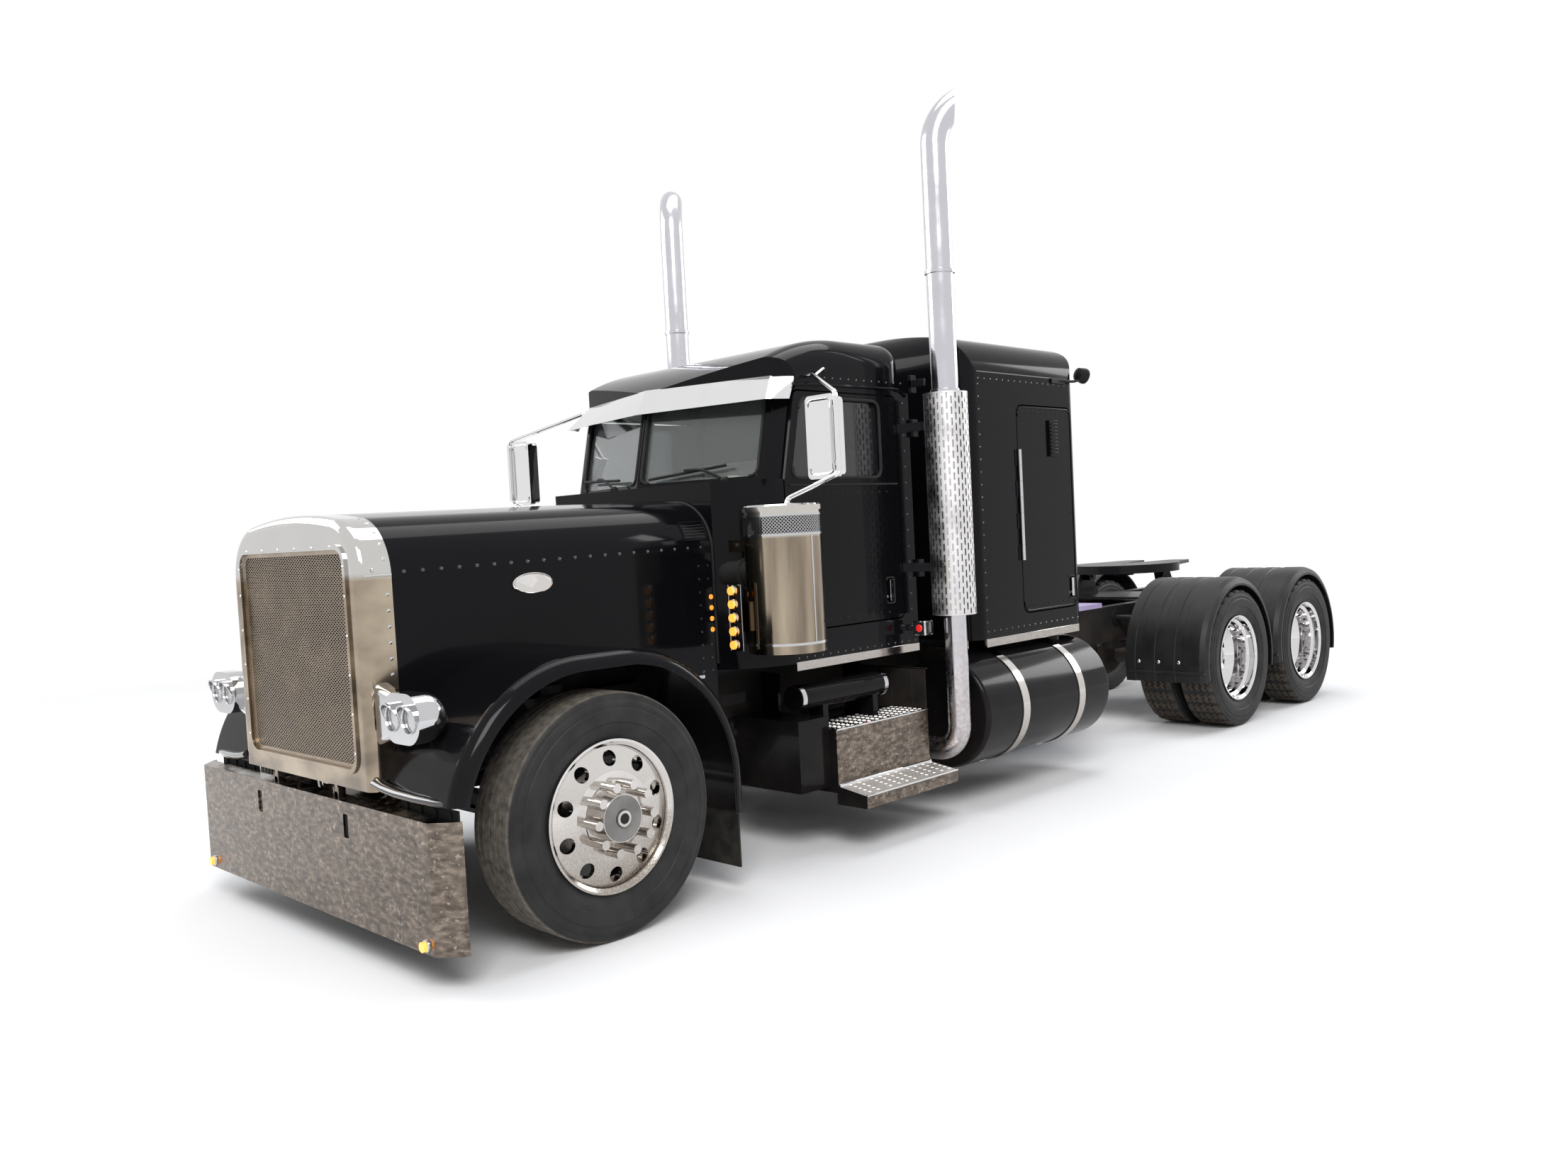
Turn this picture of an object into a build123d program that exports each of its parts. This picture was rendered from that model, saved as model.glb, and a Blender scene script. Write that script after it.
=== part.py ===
"""Conventional long-nose semi truck tractor unit with a sleeper, twin stacks and tandem drive axles.

Millimetres. X runs to the truck's left, Y to the rear and Z up from the floor.
Places along the truck are stations: distances behind the front axle.
"""

import os
from math import cos, radians, sin, sqrt

from build123d import *

# Wheels and axles
TYRE_RADIUS = 522.0
TYRE_WIDTH = 280.0
RIM_RADIUS = 324.0
RIM_HALF = 118.0
BEAD_RADIUS = 311.0
FRONT_TYRE_X = 1044.0
REAR_TYRE_X = 1084.0
TWIN_SPACING = 330.0
FIRST_DRIVE = 5980.0
TANDEM = 1314.0
AXLE_Z = TYRE_RADIUS

# Overall length: bumper and its bullet lamps before the front axle, rear fender behind the last axle
BUMPER_REACH = 815.0
BULLET = 24.0
REAR_FENDER_RADIUS = 622.0
FRONT_REACH = BUMPER_REACH + BULLET
LENGTH = FRONT_REACH + FIRST_DRIVE + TANDEM + REAR_FENDER_RADIUS
FRONT_AXLE_Y = FRONT_REACH - LENGTH / 2

# Frame
FRAME_HALF = 432.0
FRAME_TOP = 955.0
FRAME_DEPTH = 270.0
FLANGE = 89.0
RAIL_WALL = 8.0
FRAME_FRONT = -620.0
FRAME_REAR = FIRST_DRIVE + TANDEM + 590.0
FRAME_BOTTOM = FRAME_TOP - FRAME_DEPTH

# Nose
SHELL_FRONT = -790.0
HOOD_FRONT = -645.0
HOOD_REAR = 1070.0
HOOD_HALF_FRONT = 630.0
HOOD_HALF_REAR = 665.0
HOOD_TOP_FRONT = 1846.0
HOOD_TOP_REAR = 1870.0
HOOD_SHOULDER = 250.0
HOOD_BOTTOM = 708.0
HOOD_WALL = 18.0
FENDER_OUT = 1180.0
FENDER_TOP = 1212.0
FENDER_RADIUS = 650.0
FENDER_FLAT_FRONT = -110.0
FENDER_FLAT_REAR = 100.0
FENDER_FRONT_LOW = 700.0
FENDER_REAR_LOW = 387.0
FENDER_SHOULDER = 60.0
FENDER_WALL = 8.0
HOOD_PIVOT_D = -772.0
HOOD_PIVOT_Z = 684.0
HINGE_X = 300.0
HINGE_PIN = 9.0

# Bumper
BUMPER_LOW = 147.0
BUMPER_HIGH = 656.0
BUMPER_FLAT = 1100.0
BUMPER_HALF = 1190.0
BUMPER_SWEEP = 80.0
BUMPER_WALL = 8.0

# Cab
CAB_HALF = 880.0
CAB_WALL = 50.0
COWL_FRONT = 1085.0
COWL_HALF = 668.0
CAB_REAR = 2450.0
CAB_BOTTOM = 985.0
FLOOR_WALL = 40.0
BELT_Z = 1940.0
HEADER_Z = 2420.0
CAB_TOP = 2700.0
GLASS_APEX = 1150.0
GLASS_CORNER_X = 790.0
PILLAR_D = 1420.0
PILLAR_DEPTH = 68.0
GLASS_CORNER_D = PILLAR_D - PILLAR_DEPTH
RAKE = 0.217
CAB_SPLIT = PILLAR_D + 380.0
DOOR_FRONT = PILLAR_D - 20.0
DOOR_REAR = 2335.0
DOOR_LOW = 1145.0
DOOR_GAP = 8.0
DOOR_HINGES = (1290.0, 1760.0)
DOOR_HINGE_D = DOOR_FRONT + 4
BARREL = 12.0
BARREL_PIN = 5.0

# Sleeper
SLEEPER_HALF = 1000.0
SLEEPER_WALL = 40.0
SLEEPER_FRONT = 2850.0
SLEEPER_REAR = 4080.0
SLEEPER_BOTTOM = 960.0
SLEEPER_SEAM = 2560.0
SLEEPER_CROWN = 2862.0
SLEEPER_SHOULDER = 220.0
SLEEPER_CORNER = 100.0
BUNK_FRONT = 3360.0
BUNK_REAR = 4000.0
BUNK_LOW = 1080.0
BUNK_HIGH = 2380.0
BUNK_HINGE_D = BUNK_FRONT + 4
BUNK_HINGE_LOW = 1415.0
BUNK_KNUCKLES = 7
BUNK_KNUCKLE = 98.0

# Side gear
STEP_FRONT = 1560.0
STEP_REAR = 2335.0
STEP_TOP = 627.0
AIR_X = 850.0
AIR_FRONT = 1420.0
AIR_REAR = 2115.0
AIR_Z = 800.0
AIR_RADIUS = 68.0
TANK_X = 870.0
TANK_Z = 556.0
TANK_RADIUS = 333.0
TANK_FRONT = 2650.0
TANK_REAR = 4020.0
STACK_X = 1120.0
STACK_D = 2480.0
STACK_RADIUS = 76.0
MUFFLER_RADIUS = 118.0
STACK_BEND_Z = 3750.0
STACK_BEND = 260.0
STACK_TIP = 112.0
CLEANER_X = 1100.0
CLEANER_D = 1150.0
CLEANER_RADIUS = 190.0
REAR_FENDER_IN = 580.0
REAR_FENDER_OUT = 1222.0
REAR_FENDER_DIP = 12.0
RIBS = (690.0, 850.0, 1010.0)
RIB_HALF = 34.0
RIB_DEPTH = 5.0

# Steering and fifth wheel
KINGPIN_X = 850.0
KINGPIN_RADIUS = 25.0
TIE_X = KINGPIN_X
TIE_D = 260.0
FIFTH_D = 6450.0
FIFTH_TOP = 1240.0
FIFTH_PIVOT_Z = 1140.0
KING_BORE = 25.9

# Clearances
RUN = 0.4
SEAT = 0.3
BIG = 3000.0


def st(distance):
    """Y of a place given as its distance behind the front axle."""
    return FRONT_AXLE_Y + distance


def side(x):
    """Plane along the truck: local x is the station, local y is Z, facing left."""
    return Plane(origin=(x, FRONT_AXLE_Y, 0), x_dir=(0, 1, 0), z_dir=(1, 0, 0))


def across(distance):
    """Plane across the truck: local x is X, local y is Z, facing forward."""
    return Plane(origin=(0, st(distance), 0), x_dir=(1, 0, 0), z_dir=(0, -1, 0))


def level(z):
    """Level plane: local x is X, local y is the station, facing up."""
    return Plane(origin=(0, FRONT_AXLE_Y, z))


def axle_plane(distance):
    """Plane for profiles turned about an axle: local x is X, local y is the radius."""
    return Plane(origin=(0, st(distance), AXLE_Z), x_dir=(1, 0, 0), z_dir=(0, -1, 0))


def axle_axis(distance):
    """The line about which the wheels at this station turn."""
    return Axis((0, st(distance), AXLE_Z), (1, 0, 0))


def block(x0, x1, d0, d1, z0, z1, mode=Mode.ADD):
    """A box between two X, two stations and two heights."""
    with Locations(((x0 + x1) / 2, st((d0 + d1) / 2), (z0 + z1) / 2)):
        Box(x1 - x0, d1 - d0, z1 - z0, mode=mode)


def post(x, distance, z0, z1, radius, mode=Mode.ADD):
    """An upright cylinder."""
    with Locations((x, st(distance), z0)):
        Cylinder(radius, z1 - z0, align=(Align.CENTER, Align.CENTER, Align.MIN), mode=mode)


def bar(x0, x1, distance, z, radius, mode=Mode.ADD):
    """A cylinder that lies across the truck."""
    with Locations(Plane(origin=(x0, st(distance), z), z_dir=(1, 0, 0))):
        Cylinder(radius, x1 - x0, align=(Align.CENTER, Align.CENTER, Align.MIN), mode=mode)


def lying(x, d0, d1, z, radius, mode=Mode.ADD):
    """A cylinder that lies along the truck."""
    with Locations(Plane(origin=(x, st(d0), z), z_dir=(0, 1, 0))):
        Cylinder(radius, d1 - d0, align=(Align.CENTER, Align.CENTER, Align.MIN), mode=mode)


def knuckles(skin, distance, spans, way, sink):
    """Barrels of a surface hinge on a left-hand skin, each with a leaf that runs forward (-1) or back (1)."""
    near, far = sorted((distance + way * 4, distance + way * 36))
    for z0, z1 in spans:
        block(skin - sink, skin + 4, near, far, z0, z1)
        post(skin + BARREL, distance, z0, z1, BARREL)


def handle(skin, distance, z):
    """A paddle handle in its pocket on a left-hand skin."""
    block(skin - 20, skin + 5, distance, distance + 62, z, z + 140, Mode.SUBTRACT)
    block(skin - 21, skin - 2, distance + 30, distance + 54, z + 12, z + 128)


def prism(plane, points, amount, mode=Mode.ADD, corner=0.0):
    """Extrude a straight-sided outline, its corners rounded where a radius is given."""
    with BuildSketch(plane) as outline:
        with BuildLine():
            Polyline(*points, close=True)
        make_face()
        if corner:
            fillet(outline.vertices(), corner)
    extrude(outline.sketch, amount=amount, mode=mode)


def turned(distance, points, mode=Mode.ADD):
    """Turn a straight-sided profile of (X, radius) points about an axle."""
    with BuildSketch(axle_plane(distance)) as profile:
        with BuildLine():
            Polyline(*points, close=True)
        make_face()
    revolve(profile.sketch, axis=axle_axis(distance), mode=mode)


def tube(points, radius, bend, bore=0.0):
    """Sweep a round bar or tube through (X, station, Z) points with round bends."""
    with BuildLine() as run:
        FilletPolyline(*[(x, st(d), z) for x, d, z in points], radius=bend)
    with BuildSketch(Plane(origin=run.line @ 0, z_dir=run.line % 0)) as ring:
        Circle(radius)
        if bore:
            Circle(bore, mode=Mode.SUBTRACT)
    sweep(ring.sketch, path=run.line)


# Frame: two channel rails, and the crossmembers between their webs
with BuildPart() as frame_rails:
    inner = FRAME_HALF - FLANGE
    web = FRAME_HALF - RAIL_WALL
    low = FRAME_BOTTOM + RAIL_WALL
    high = FRAME_TOP - RAIL_WALL
    channel = [
        (inner, FRAME_BOTTOM),
        (FRAME_HALF, FRAME_BOTTOM),
        (FRAME_HALF, FRAME_TOP),
        (inner, FRAME_TOP),
        (inner, high),
        (web, high),
        (web, low),
        (inner, low),
    ]
    prism(across(FRAME_FRONT), channel, FRAME_FRONT - FRAME_REAR)
    mirror(about=Plane.YZ)

# Crossmember stations
CROSSMEMBERS = (-560.0, 2330.0, 4150.0, 5250.0, FIRST_DRIVE + TANDEM / 2, FRAME_REAR - 40.0)
CROSS_HALF_DEPTH = 90.0
LIGHT_BAR = 470.0
TAIL_LAMPS = (390.0, 265.0)
with BuildPart() as crossmembers:
    cross_z = FRAME_TOP - FRAME_DEPTH / 2
    for station in CROSSMEMBERS:
        channel = [
            (station - 35, cross_z - CROSS_HALF_DEPTH),
            (station + 35, cross_z - CROSS_HALF_DEPTH),
            (station + 35, cross_z - CROSS_HALF_DEPTH + 10),
            (station - 25, cross_z - CROSS_HALF_DEPTH + 10),
            (station - 25, cross_z + CROSS_HALF_DEPTH - 10),
            (station + 35, cross_z + CROSS_HALF_DEPTH - 10),
            (station + 35, cross_z + CROSS_HALF_DEPTH),
            (station - 35, cross_z + CROSS_HALF_DEPTH),
        ]
        prism(side(RAIL_WALL - FRAME_HALF), channel, 2 * (FRAME_HALF - RAIL_WALL))
    block(-LIGHT_BAR, LIGHT_BAR, FRAME_REAR, FRAME_REAR + 14, FRAME_BOTTOM + 20, FRAME_BOTTOM + 170)

# Bumper: a bent plate with a top return, tow slots and two hangers from the rails
with BuildPart() as front_bumper:
    face = -BUMPER_REACH
    plan = [
        (-BUMPER_HALF, face + BUMPER_SWEEP),
        (-BUMPER_FLAT, face),
        (BUMPER_FLAT, face),
        (BUMPER_HALF, face + BUMPER_SWEEP),
        (BUMPER_HALF, face + BUMPER_SWEEP + 2 * BUMPER_WALL),
        (BUMPER_FLAT - 4, face + BUMPER_WALL),
        (4 - BUMPER_FLAT, face + BUMPER_WALL),
        (-BUMPER_HALF, face + BUMPER_SWEEP + 2 * BUMPER_WALL),
    ]
    prism(level(BUMPER_LOW), plan, BUMPER_HIGH - BUMPER_LOW)
    shelf = [
        (-BUMPER_HALF, face + BUMPER_SWEEP),
        (-BUMPER_FLAT, face),
        (BUMPER_FLAT, face),
        (BUMPER_HALF, face + BUMPER_SWEEP),
    ]
    prism(level(BUMPER_HIGH - BUMPER_WALL), shelf, BUMPER_WALL)
    for slot_x in (-430.0, 430.0):
        prism(
            across(face - 5),
            [(slot_x - 22, 505), (slot_x + 22, 505), (slot_x + 22, 605), (slot_x - 22, 605)],
            -(BUMPER_WALL + 10),
            Mode.SUBTRACT,
            8.0,
        )
    for hanger_x in (-FRAME_HALF - 16, FRAME_HALF):
        hanger = [
            (face + BUMPER_WALL, 250),
            (face + BUMPER_WALL, 640),
            (FRAME_FRONT - 20, 640),
            (FRAME_FRONT, 720),
            (FRAME_FRONT, 940),
            (FRAME_FRONT + 160, 940),
            (FRAME_FRONT + 160, FRAME_BOTTOM),
            (FRAME_FRONT, 560),
            (FRAME_FRONT - 80, 250),
        ]
        prism(side(hanger_x), hanger, 16)
    for hinge_x in (-HINGE_X, HINGE_X):
        for lug_x in (hinge_x - 24, hinge_x + 16):
            block(lug_x, lug_x + 8, HOOD_PIVOT_D - 16, HOOD_PIVOT_D + 16, BUMPER_HIGH, HOOD_PIVOT_Z + 14)
        bar(hinge_x - 24, hinge_x + 24, HOOD_PIVOT_D, HOOD_PIVOT_Z, HINGE_PIN)


def hood_face(half, top, bottom, inset):
    """Hood outline on the plane in use: upright sides, round shoulders and a crowned top."""
    crown = 26.0
    radius = HOOD_SHOULDER - inset
    width = half - inset
    height = top - inset
    with BuildLine() as outline:
        low_left = Line((-width, bottom), (-width, height - crown - radius))
        left = JernArc(low_left @ 1, (0, 1), radius, -86)
        low_right = Line((width, bottom), (width, height - crown - radius))
        right = JernArc(low_right @ 1, (0, 1), radius, 86)
        ThreePointArc(left @ 1, (0, height), right @ 1)
        Line((-width, bottom), (width, bottom))
    make_face(outline.edges())


def hood_solid(inset, bottom):
    """Hood block from the shell's rear edge to the cowl, drawn in by the inset."""
    with BuildSketch(across(HOOD_FRONT)) as front:
        hood_face(HOOD_HALF_FRONT, HOOD_TOP_FRONT, bottom, inset)
    with BuildSketch(across(HOOD_REAR)) as rear:
        hood_face(HOOD_HALF_REAR, HOOD_TOP_REAR, bottom, inset)
    return loft([front.sketch, rear.sketch], ruled=True, mode=Mode.PRIVATE)


def fender_outline(inset, low_front, low_rear):
    """Side outline of the front fender, arcs before and behind a short flat top."""
    radius = FENDER_RADIUS - inset
    centre_z = FENDER_TOP - FENDER_RADIUS
    rise = low_front - centre_z
    with BuildLine() as outline:
        front_low = (FENDER_FLAT_FRONT - sqrt(radius**2 - rise**2), low_front)
        front_mid = (FENDER_FLAT_FRONT - radius * sin(radians(40)), centre_z + radius * cos(radians(40)))
        front_top = (FENDER_FLAT_FRONT, centre_z + radius)
        rear_top = (FENDER_FLAT_REAR, centre_z + radius)
        rear_mid = (FENDER_FLAT_REAR + radius * sin(radians(45)), centre_z + radius * cos(radians(45)))
        rear_side = (FENDER_FLAT_REAR + radius, centre_z)
        ThreePointArc(front_low, front_mid, front_top)
        Line(front_top, rear_top)
        ThreePointArc(rear_top, rear_mid, rear_side)
        Line(rear_side, (FENDER_FLAT_REAR + radius, low_rear))
        Line((FENDER_FLAT_REAR + radius, low_rear), front_low)
    make_face(outline.edges())


# Hood: a hollow vault whose sides stop at the fenders
with BuildPart() as hood_block:
    add(hood_solid(0.0, HOOD_BOTTOM))
with BuildPart() as hood:
    add(hood_block.part)
    add(hood_solid(HOOD_WALL, HOOD_BOTTOM - 100), mode=Mode.SUBTRACT)
    with BuildSketch(side(-BIG / 2)) as arch:
        fender_outline(FENDER_WALL, FENDER_FRONT_LOW, FENDER_REAR_LOW)
    extrude(arch.sketch, amount=BIG, mode=Mode.SUBTRACT)
    arch_rear = FENDER_FLAT_REAR + FENDER_RADIUS - FENDER_WALL
    block(-BIG, BIG, HOOD_FRONT - 50, arch_rear, 0, FENDER_FRONT_LOW + 20, Mode.SUBTRACT)

# Grille shell: polished surround with the screen's opening, and its hinge arms
SCREEN_HALF = 515.0
SCREEN_LOW = 790.0
SCREEN_HIGH = 1690.0
SCREEN_CORNER = 60.0
SURROUND_RISE = 9.0
with BuildPart() as shell_block:
    with BuildSketch(across(SHELL_FRONT)) as shell_face:
        hood_face(HOOD_HALF_FRONT, HOOD_TOP_FRONT, HOOD_BOTTOM, 0.0)
    extrude(shell_face.sketch, amount=SHELL_FRONT - HOOD_FRONT)
    rim_edges = shell_block.faces().sort_by(Axis.Y)[0].edges().sort_by(Axis.Z)[1:]
    fillet(rim_edges, 45.0)
with BuildPart() as grille_shell:
    add(shell_block.part)
    with BuildSketch(across(SHELL_FRONT + 25)) as shell_void:
        hood_face(HOOD_HALF_FRONT, HOOD_TOP_FRONT, HOOD_BOTTOM + 30, 32.0)
    extrude(shell_void.sketch, amount=SHELL_FRONT - HOOD_FRONT - 30, mode=Mode.SUBTRACT)
    with BuildSketch(across(SHELL_FRONT - 10)) as screen_hole:
        with Locations((0, (SCREEN_LOW + SCREEN_HIGH) / 2)):
            RectangleRounded(2 * SCREEN_HALF, SCREEN_HIGH - SCREEN_LOW, SCREEN_CORNER)
    with BuildSketch(across(SHELL_FRONT)) as surround:
        with Locations((0, (SCREEN_LOW + SCREEN_HIGH) / 2)):
            RectangleRounded(2 * SCREEN_HALF + 44, SCREEN_HIGH - SCREEN_LOW + 44, SCREEN_CORNER + 22)
    extrude(surround.sketch, amount=SURROUND_RISE)
    extrude(screen_hole.sketch, amount=-60, mode=Mode.SUBTRACT)
    for hinge_x in (-HINGE_X, HINGE_X):
        block(hinge_x - 13, hinge_x + 13, HOOD_PIVOT_D - 14, HOOD_PIVOT_D + 16, HOOD_PIVOT_Z, HOOD_BOTTOM + 5)
        bar(hinge_x - 13, hinge_x + 13, HOOD_PIVOT_D, HOOD_PIVOT_Z, HINGE_PIN + 7)
        bar(hinge_x - 14, hinge_x + 14, HOOD_PIVOT_D, HOOD_PIVOT_Z, HINGE_PIN + RUN, Mode.SUBTRACT)

# Grille screen: a plate of square meshes that fills the shell's opening
MESH_COLUMNS = 18
MESH_ROWS = 15
with BuildPart() as grille_screen:
    with BuildSketch(across(SHELL_FRONT + 12)) as screen:
        with Locations((0, (SCREEN_LOW + SCREEN_HIGH) / 2)):
            RectangleRounded(2 * SCREEN_HALF, SCREEN_HIGH - SCREEN_LOW, SCREEN_CORNER)
            pitch_x = 2 * (SCREEN_HALF - 40) / MESH_COLUMNS
            pitch_z = (SCREEN_HIGH - SCREEN_LOW - 80) / MESH_ROWS
            with GridLocations(pitch_x, pitch_z, MESH_COLUMNS, MESH_ROWS):
                Rectangle(pitch_x - 14, pitch_z - 14, mode=Mode.SUBTRACT)
    extrude(screen.sketch, amount=-8)

# Front fenders: round-shouldered pontoons open below, cut to the hood's sides
with BuildPart() as fender_left:
    with BuildSketch(side(HOOD_HALF_FRONT - 20)) as skin:
        fender_outline(0.0, FENDER_FRONT_LOW, FENDER_REAR_LOW)
    extrude(skin.sketch, amount=FENDER_OUT - HOOD_HALF_FRONT + 20)
    lip_edges = fender_left.faces().sort_by(Axis.X)[-1].edges().filter_by(
        lambda edge: edge.center().Z > FENDER_REAR_LOW + 180 or edge.center().Y > st(FENDER_RADIUS)
    )
    fillet(lip_edges, FENDER_SHOULDER)
with BuildPart() as fender_void:
    with BuildSketch(side(HOOD_HALF_FRONT - 40)) as cavity:
        fender_outline(FENDER_WALL, FENDER_FRONT_LOW - 1, FENDER_REAR_LOW - 1)
    extrude(cavity.sketch, amount=FENDER_OUT - FENDER_WALL - HOOD_HALF_FRONT + 40)
    void_edges = fender_void.faces().sort_by(Axis.X)[-1].edges().filter_by(
        lambda edge: edge.center().Z > FENDER_REAR_LOW + 180 or edge.center().Y > st(FENDER_RADIUS - 30)
    )
    fillet(void_edges, FENDER_SHOULDER - FENDER_WALL)
with BuildPart() as front_fenders:
    add(fender_left.part)
    add(fender_void.part, mode=Mode.SUBTRACT)
    with BuildSketch(side(FENDER_OUT - FENDER_SHOULDER)) as opening:
        fender_outline(FENDER_SHOULDER + 6, FENDER_FRONT_LOW - 2, FENDER_REAR_LOW - 2)
    extrude(opening.sketch, amount=FENDER_SHOULDER + 10, mode=Mode.SUBTRACT)
    block(0, BIG, -1000, 1000, 0, FENDER_REAR_LOW, Mode.SUBTRACT)
    block(0, BIG, -1000, 0, 0, FENDER_FRONT_LOW, Mode.SUBTRACT)
    add(hood_block.part, mode=Mode.SUBTRACT)
    block(0, HOOD_HALF_FRONT, SHELL_FRONT - 50, HOOD_FRONT + 5, 0, BIG, Mode.SUBTRACT)
    mirror(about=Plane.YZ)

# Mudflaps hang from the fenders' rear edges
with BuildPart() as front_mudflaps:
    flap_d = FENDER_FLAT_REAR + FENDER_RADIUS
    block(760, FENDER_OUT - 70, flap_d, flap_d + 8, 120, FENDER_REAR_LOW + 60)
    mirror(about=Plane.YZ)

# Headlamps: twin-lens pods with round backs and peaked brows, on flared brackets from the shell
LAMP_X = (818.0, 948.0)
LAMP_Z = 1026.0
LAMP_RADIUS = 62.0
LAMP_FRONT = -778.0
LAMP_TAIL = -622.0
POD_WIDE = 290.0
POD_TALL = 200.0
POD_BACK = POD_TALL / 2 - 6
BROW_REACH = 32.0
with BuildPart() as lamp_pod:
    with BuildSketch(across(LAMP_TAIL)) as pod:
        with Locations(((LAMP_X[0] + LAMP_X[1]) / 2, LAMP_Z)):
            SlotCenterToCenter(POD_WIDE - POD_TALL, POD_TALL)
    extrude(pod.sketch, amount=LAMP_TAIL - LAMP_FRONT)
    back_edges = lamp_pod.faces().sort_by(Axis.Y)[-1].edges()
    fillet(back_edges, POD_BACK)
with BuildPart() as lamp_brows:
    for lamp_x in LAMP_X:
        with BuildSketch(across(LAMP_FRONT)) as brow:
            with Locations((lamp_x, LAMP_Z)):
                Circle(LAMP_RADIUS)
                Circle(LAMP_RADIUS - 7, mode=Mode.SUBTRACT)
        extrude(brow.sketch, amount=BROW_REACH)
    slope = [
        (LAMP_FRONT, LAMP_Z - 20), (LAMP_FRONT - BROW_REACH - 5, LAMP_Z + LAMP_RADIUS),
        (LAMP_FRONT - BROW_REACH - 5, LAMP_Z - 2 * LAMP_RADIUS), (LAMP_FRONT, LAMP_Z - 2 * LAMP_RADIUS),
    ]
    prism(side(0), slope, BIG, Mode.SUBTRACT)
with BuildPart() as headlamps:
    add(lamp_pod.part)
    add(lamp_brows.part)
    with BuildSketch(side(HOOD_HALF_FRONT)) as flare:
        with Locations((-712, LAMP_Z - 10)):
            RectangleRounded(80, 260, 36)
    with BuildSketch(side(LAMP_X[0])) as neck:
        with Locations((-720, LAMP_Z - 4)):
            RectangleRounded(64, 150, 30)
    loft([flare.sketch, neck.sketch], ruled=True)
    for lamp_x in LAMP_X:
        lying(lamp_x, LAMP_FRONT - 1, LAMP_FRONT + 14, LAMP_Z, LAMP_RADIUS - 7, Mode.SUBTRACT)
    mirror(about=Plane.YZ)
with BuildPart() as headlamp_lenses:
    for lamp_x in LAMP_X:
        lying(lamp_x, LAMP_FRONT + 2, LAMP_FRONT + 14, LAMP_Z, LAMP_RADIUS - 7 - SEAT)
    mirror(about=Plane.YZ)

# Engine with its gearbox, and the radiator on the rails
with BuildPart() as powertrain:
    block(-280, 280, -360, 960, 760, 1330)
    block(-190, 190, -330, 930, 560, 760)
    block(-170, 170, -340, 900, 1330, 1520)
    for foot_x in (-410.0, 280.0):
        block(foot_x, foot_x + 130, 180, 300, FRAME_TOP, FRAME_TOP + 45)
    with BuildSketch(across(960)) as bell:
        with Locations((0, 790)):
            Rectangle(520, 420)
    with BuildSketch(across(1500)) as box_mid:
        with Locations((0, 740)):
            Rectangle(380, 320)
    loft([bell.sketch, box_mid.sketch], ruled=True)
    block(-170, 170, 1490, 2200, 600, 880)
    lying(0, 2190, 2270, 640, 90)
    block(-470, 470, -605, -525, FRAME_TOP, 1600)
    for tank_z in (FRAME_TOP, 1545.0):
        block(-485, 485, -610, -520, tank_z, tank_z + 60)

# Axles: dropped front beam with its kingpins, and two drive housings with shafts
BEAM_TOP = 505.0
SPRING_Z = 600.0
with BuildPart() as front_axle:
    end = KINGPIN_X - 20
    beam = [
        (-end, 562), (110 - end, 556), (230 - end, BEAM_TOP), (end - 230, BEAM_TOP), (end - 110, 556),
        (end, 562), (end, 482), (end - 100, 470), (end - 220, 410), (220 - end, 410), (100 - end, 470),
        (-end, 482),
    ]
    prism(across(-40), beam, -80)
    for pocket_d in (-45.0, 15.0):
        block(260 - end, end - 260, pocket_d, pocket_d + 30, 432, 483, Mode.SUBTRACT)
    for pin_x in (-KINGPIN_X, KINGPIN_X):
        post(pin_x, 0, AXLE_Z - 70, AXLE_Z + 70, 33)
        post(pin_x, 0, AXLE_Z - 118, AXLE_Z + 118, KINGPIN_RADIUS)
    for pad_x in (-436.0, 340.0):
        block(pad_x, pad_x + 96, -75, 75, BEAM_TOP - 20, SPRING_Z)

HOUSING_RADIUS = 75.0
HUB_BORE = 62.0
SPINDLE_END = 955.0
DRIVES = (FIRST_DRIVE, FIRST_DRIVE + TANDEM)
with BuildPart() as axles:
    add(front_axle.part)
    for station in DRIVES:
        bar(-640, 640, station, AXLE_Z, HOUSING_RADIUS)
        bar(-SPINDLE_END, SPINDLE_END, station, AXLE_Z, HUB_BORE - RUN)
        with Locations((0, st(station), AXLE_Z)):
            Sphere(195)
        lying(0, station - 420, station, AXLE_Z + 40, 85)
        for pad_x in (-450.0, 330.0):
            block(pad_x, pad_x + 120, station - 70, station + 70, AXLE_Z, SPRING_Z)
    lying(0, 2270, 2320, 640, 70)
    tube(((0, 2280, 640), (0, 3900, 610), (0, FIRST_DRIVE - 415, AXLE_Z + 40)), 55, 400)
    lying(0, FIRST_DRIVE + 150, FIRST_DRIVE + TANDEM - 410, AXLE_Z + 40, 50)

# Springs: front leaf packs, and rear trailing beams with air springs
with BuildPart() as springs:
    leaf = [
        (-610, FRAME_BOTTOM), (-540, FRAME_BOTTOM), (-520, 655), (-120, SPRING_Z + 50), (120, SPRING_Z + 50),
        (600, 655), (620, FRAME_BOTTOM), (690, FRAME_BOTTOM), (680, 625), (120, SPRING_Z), (-120, SPRING_Z),
        (-600, 625),
    ]
    prism(side(345), leaf, 86)
    for station in DRIVES:
        beam = [
            (station - 560, FRAME_BOTTOM), (station - 440, FRAME_BOTTOM), (station - 430, 660),
            (station + 100, 650), (station + 180, 560), (station + 480, 560), (station + 480, 515),
            (station + 150, 515), (station + 75, SPRING_Z), (station - 540, SPRING_Z + 20),
        ]
        prism(side(345), beam, 86)
        post(388, station + 360, 560, FRAME_BOTTOM, 110)
    mirror(about=Plane.YZ)

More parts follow.
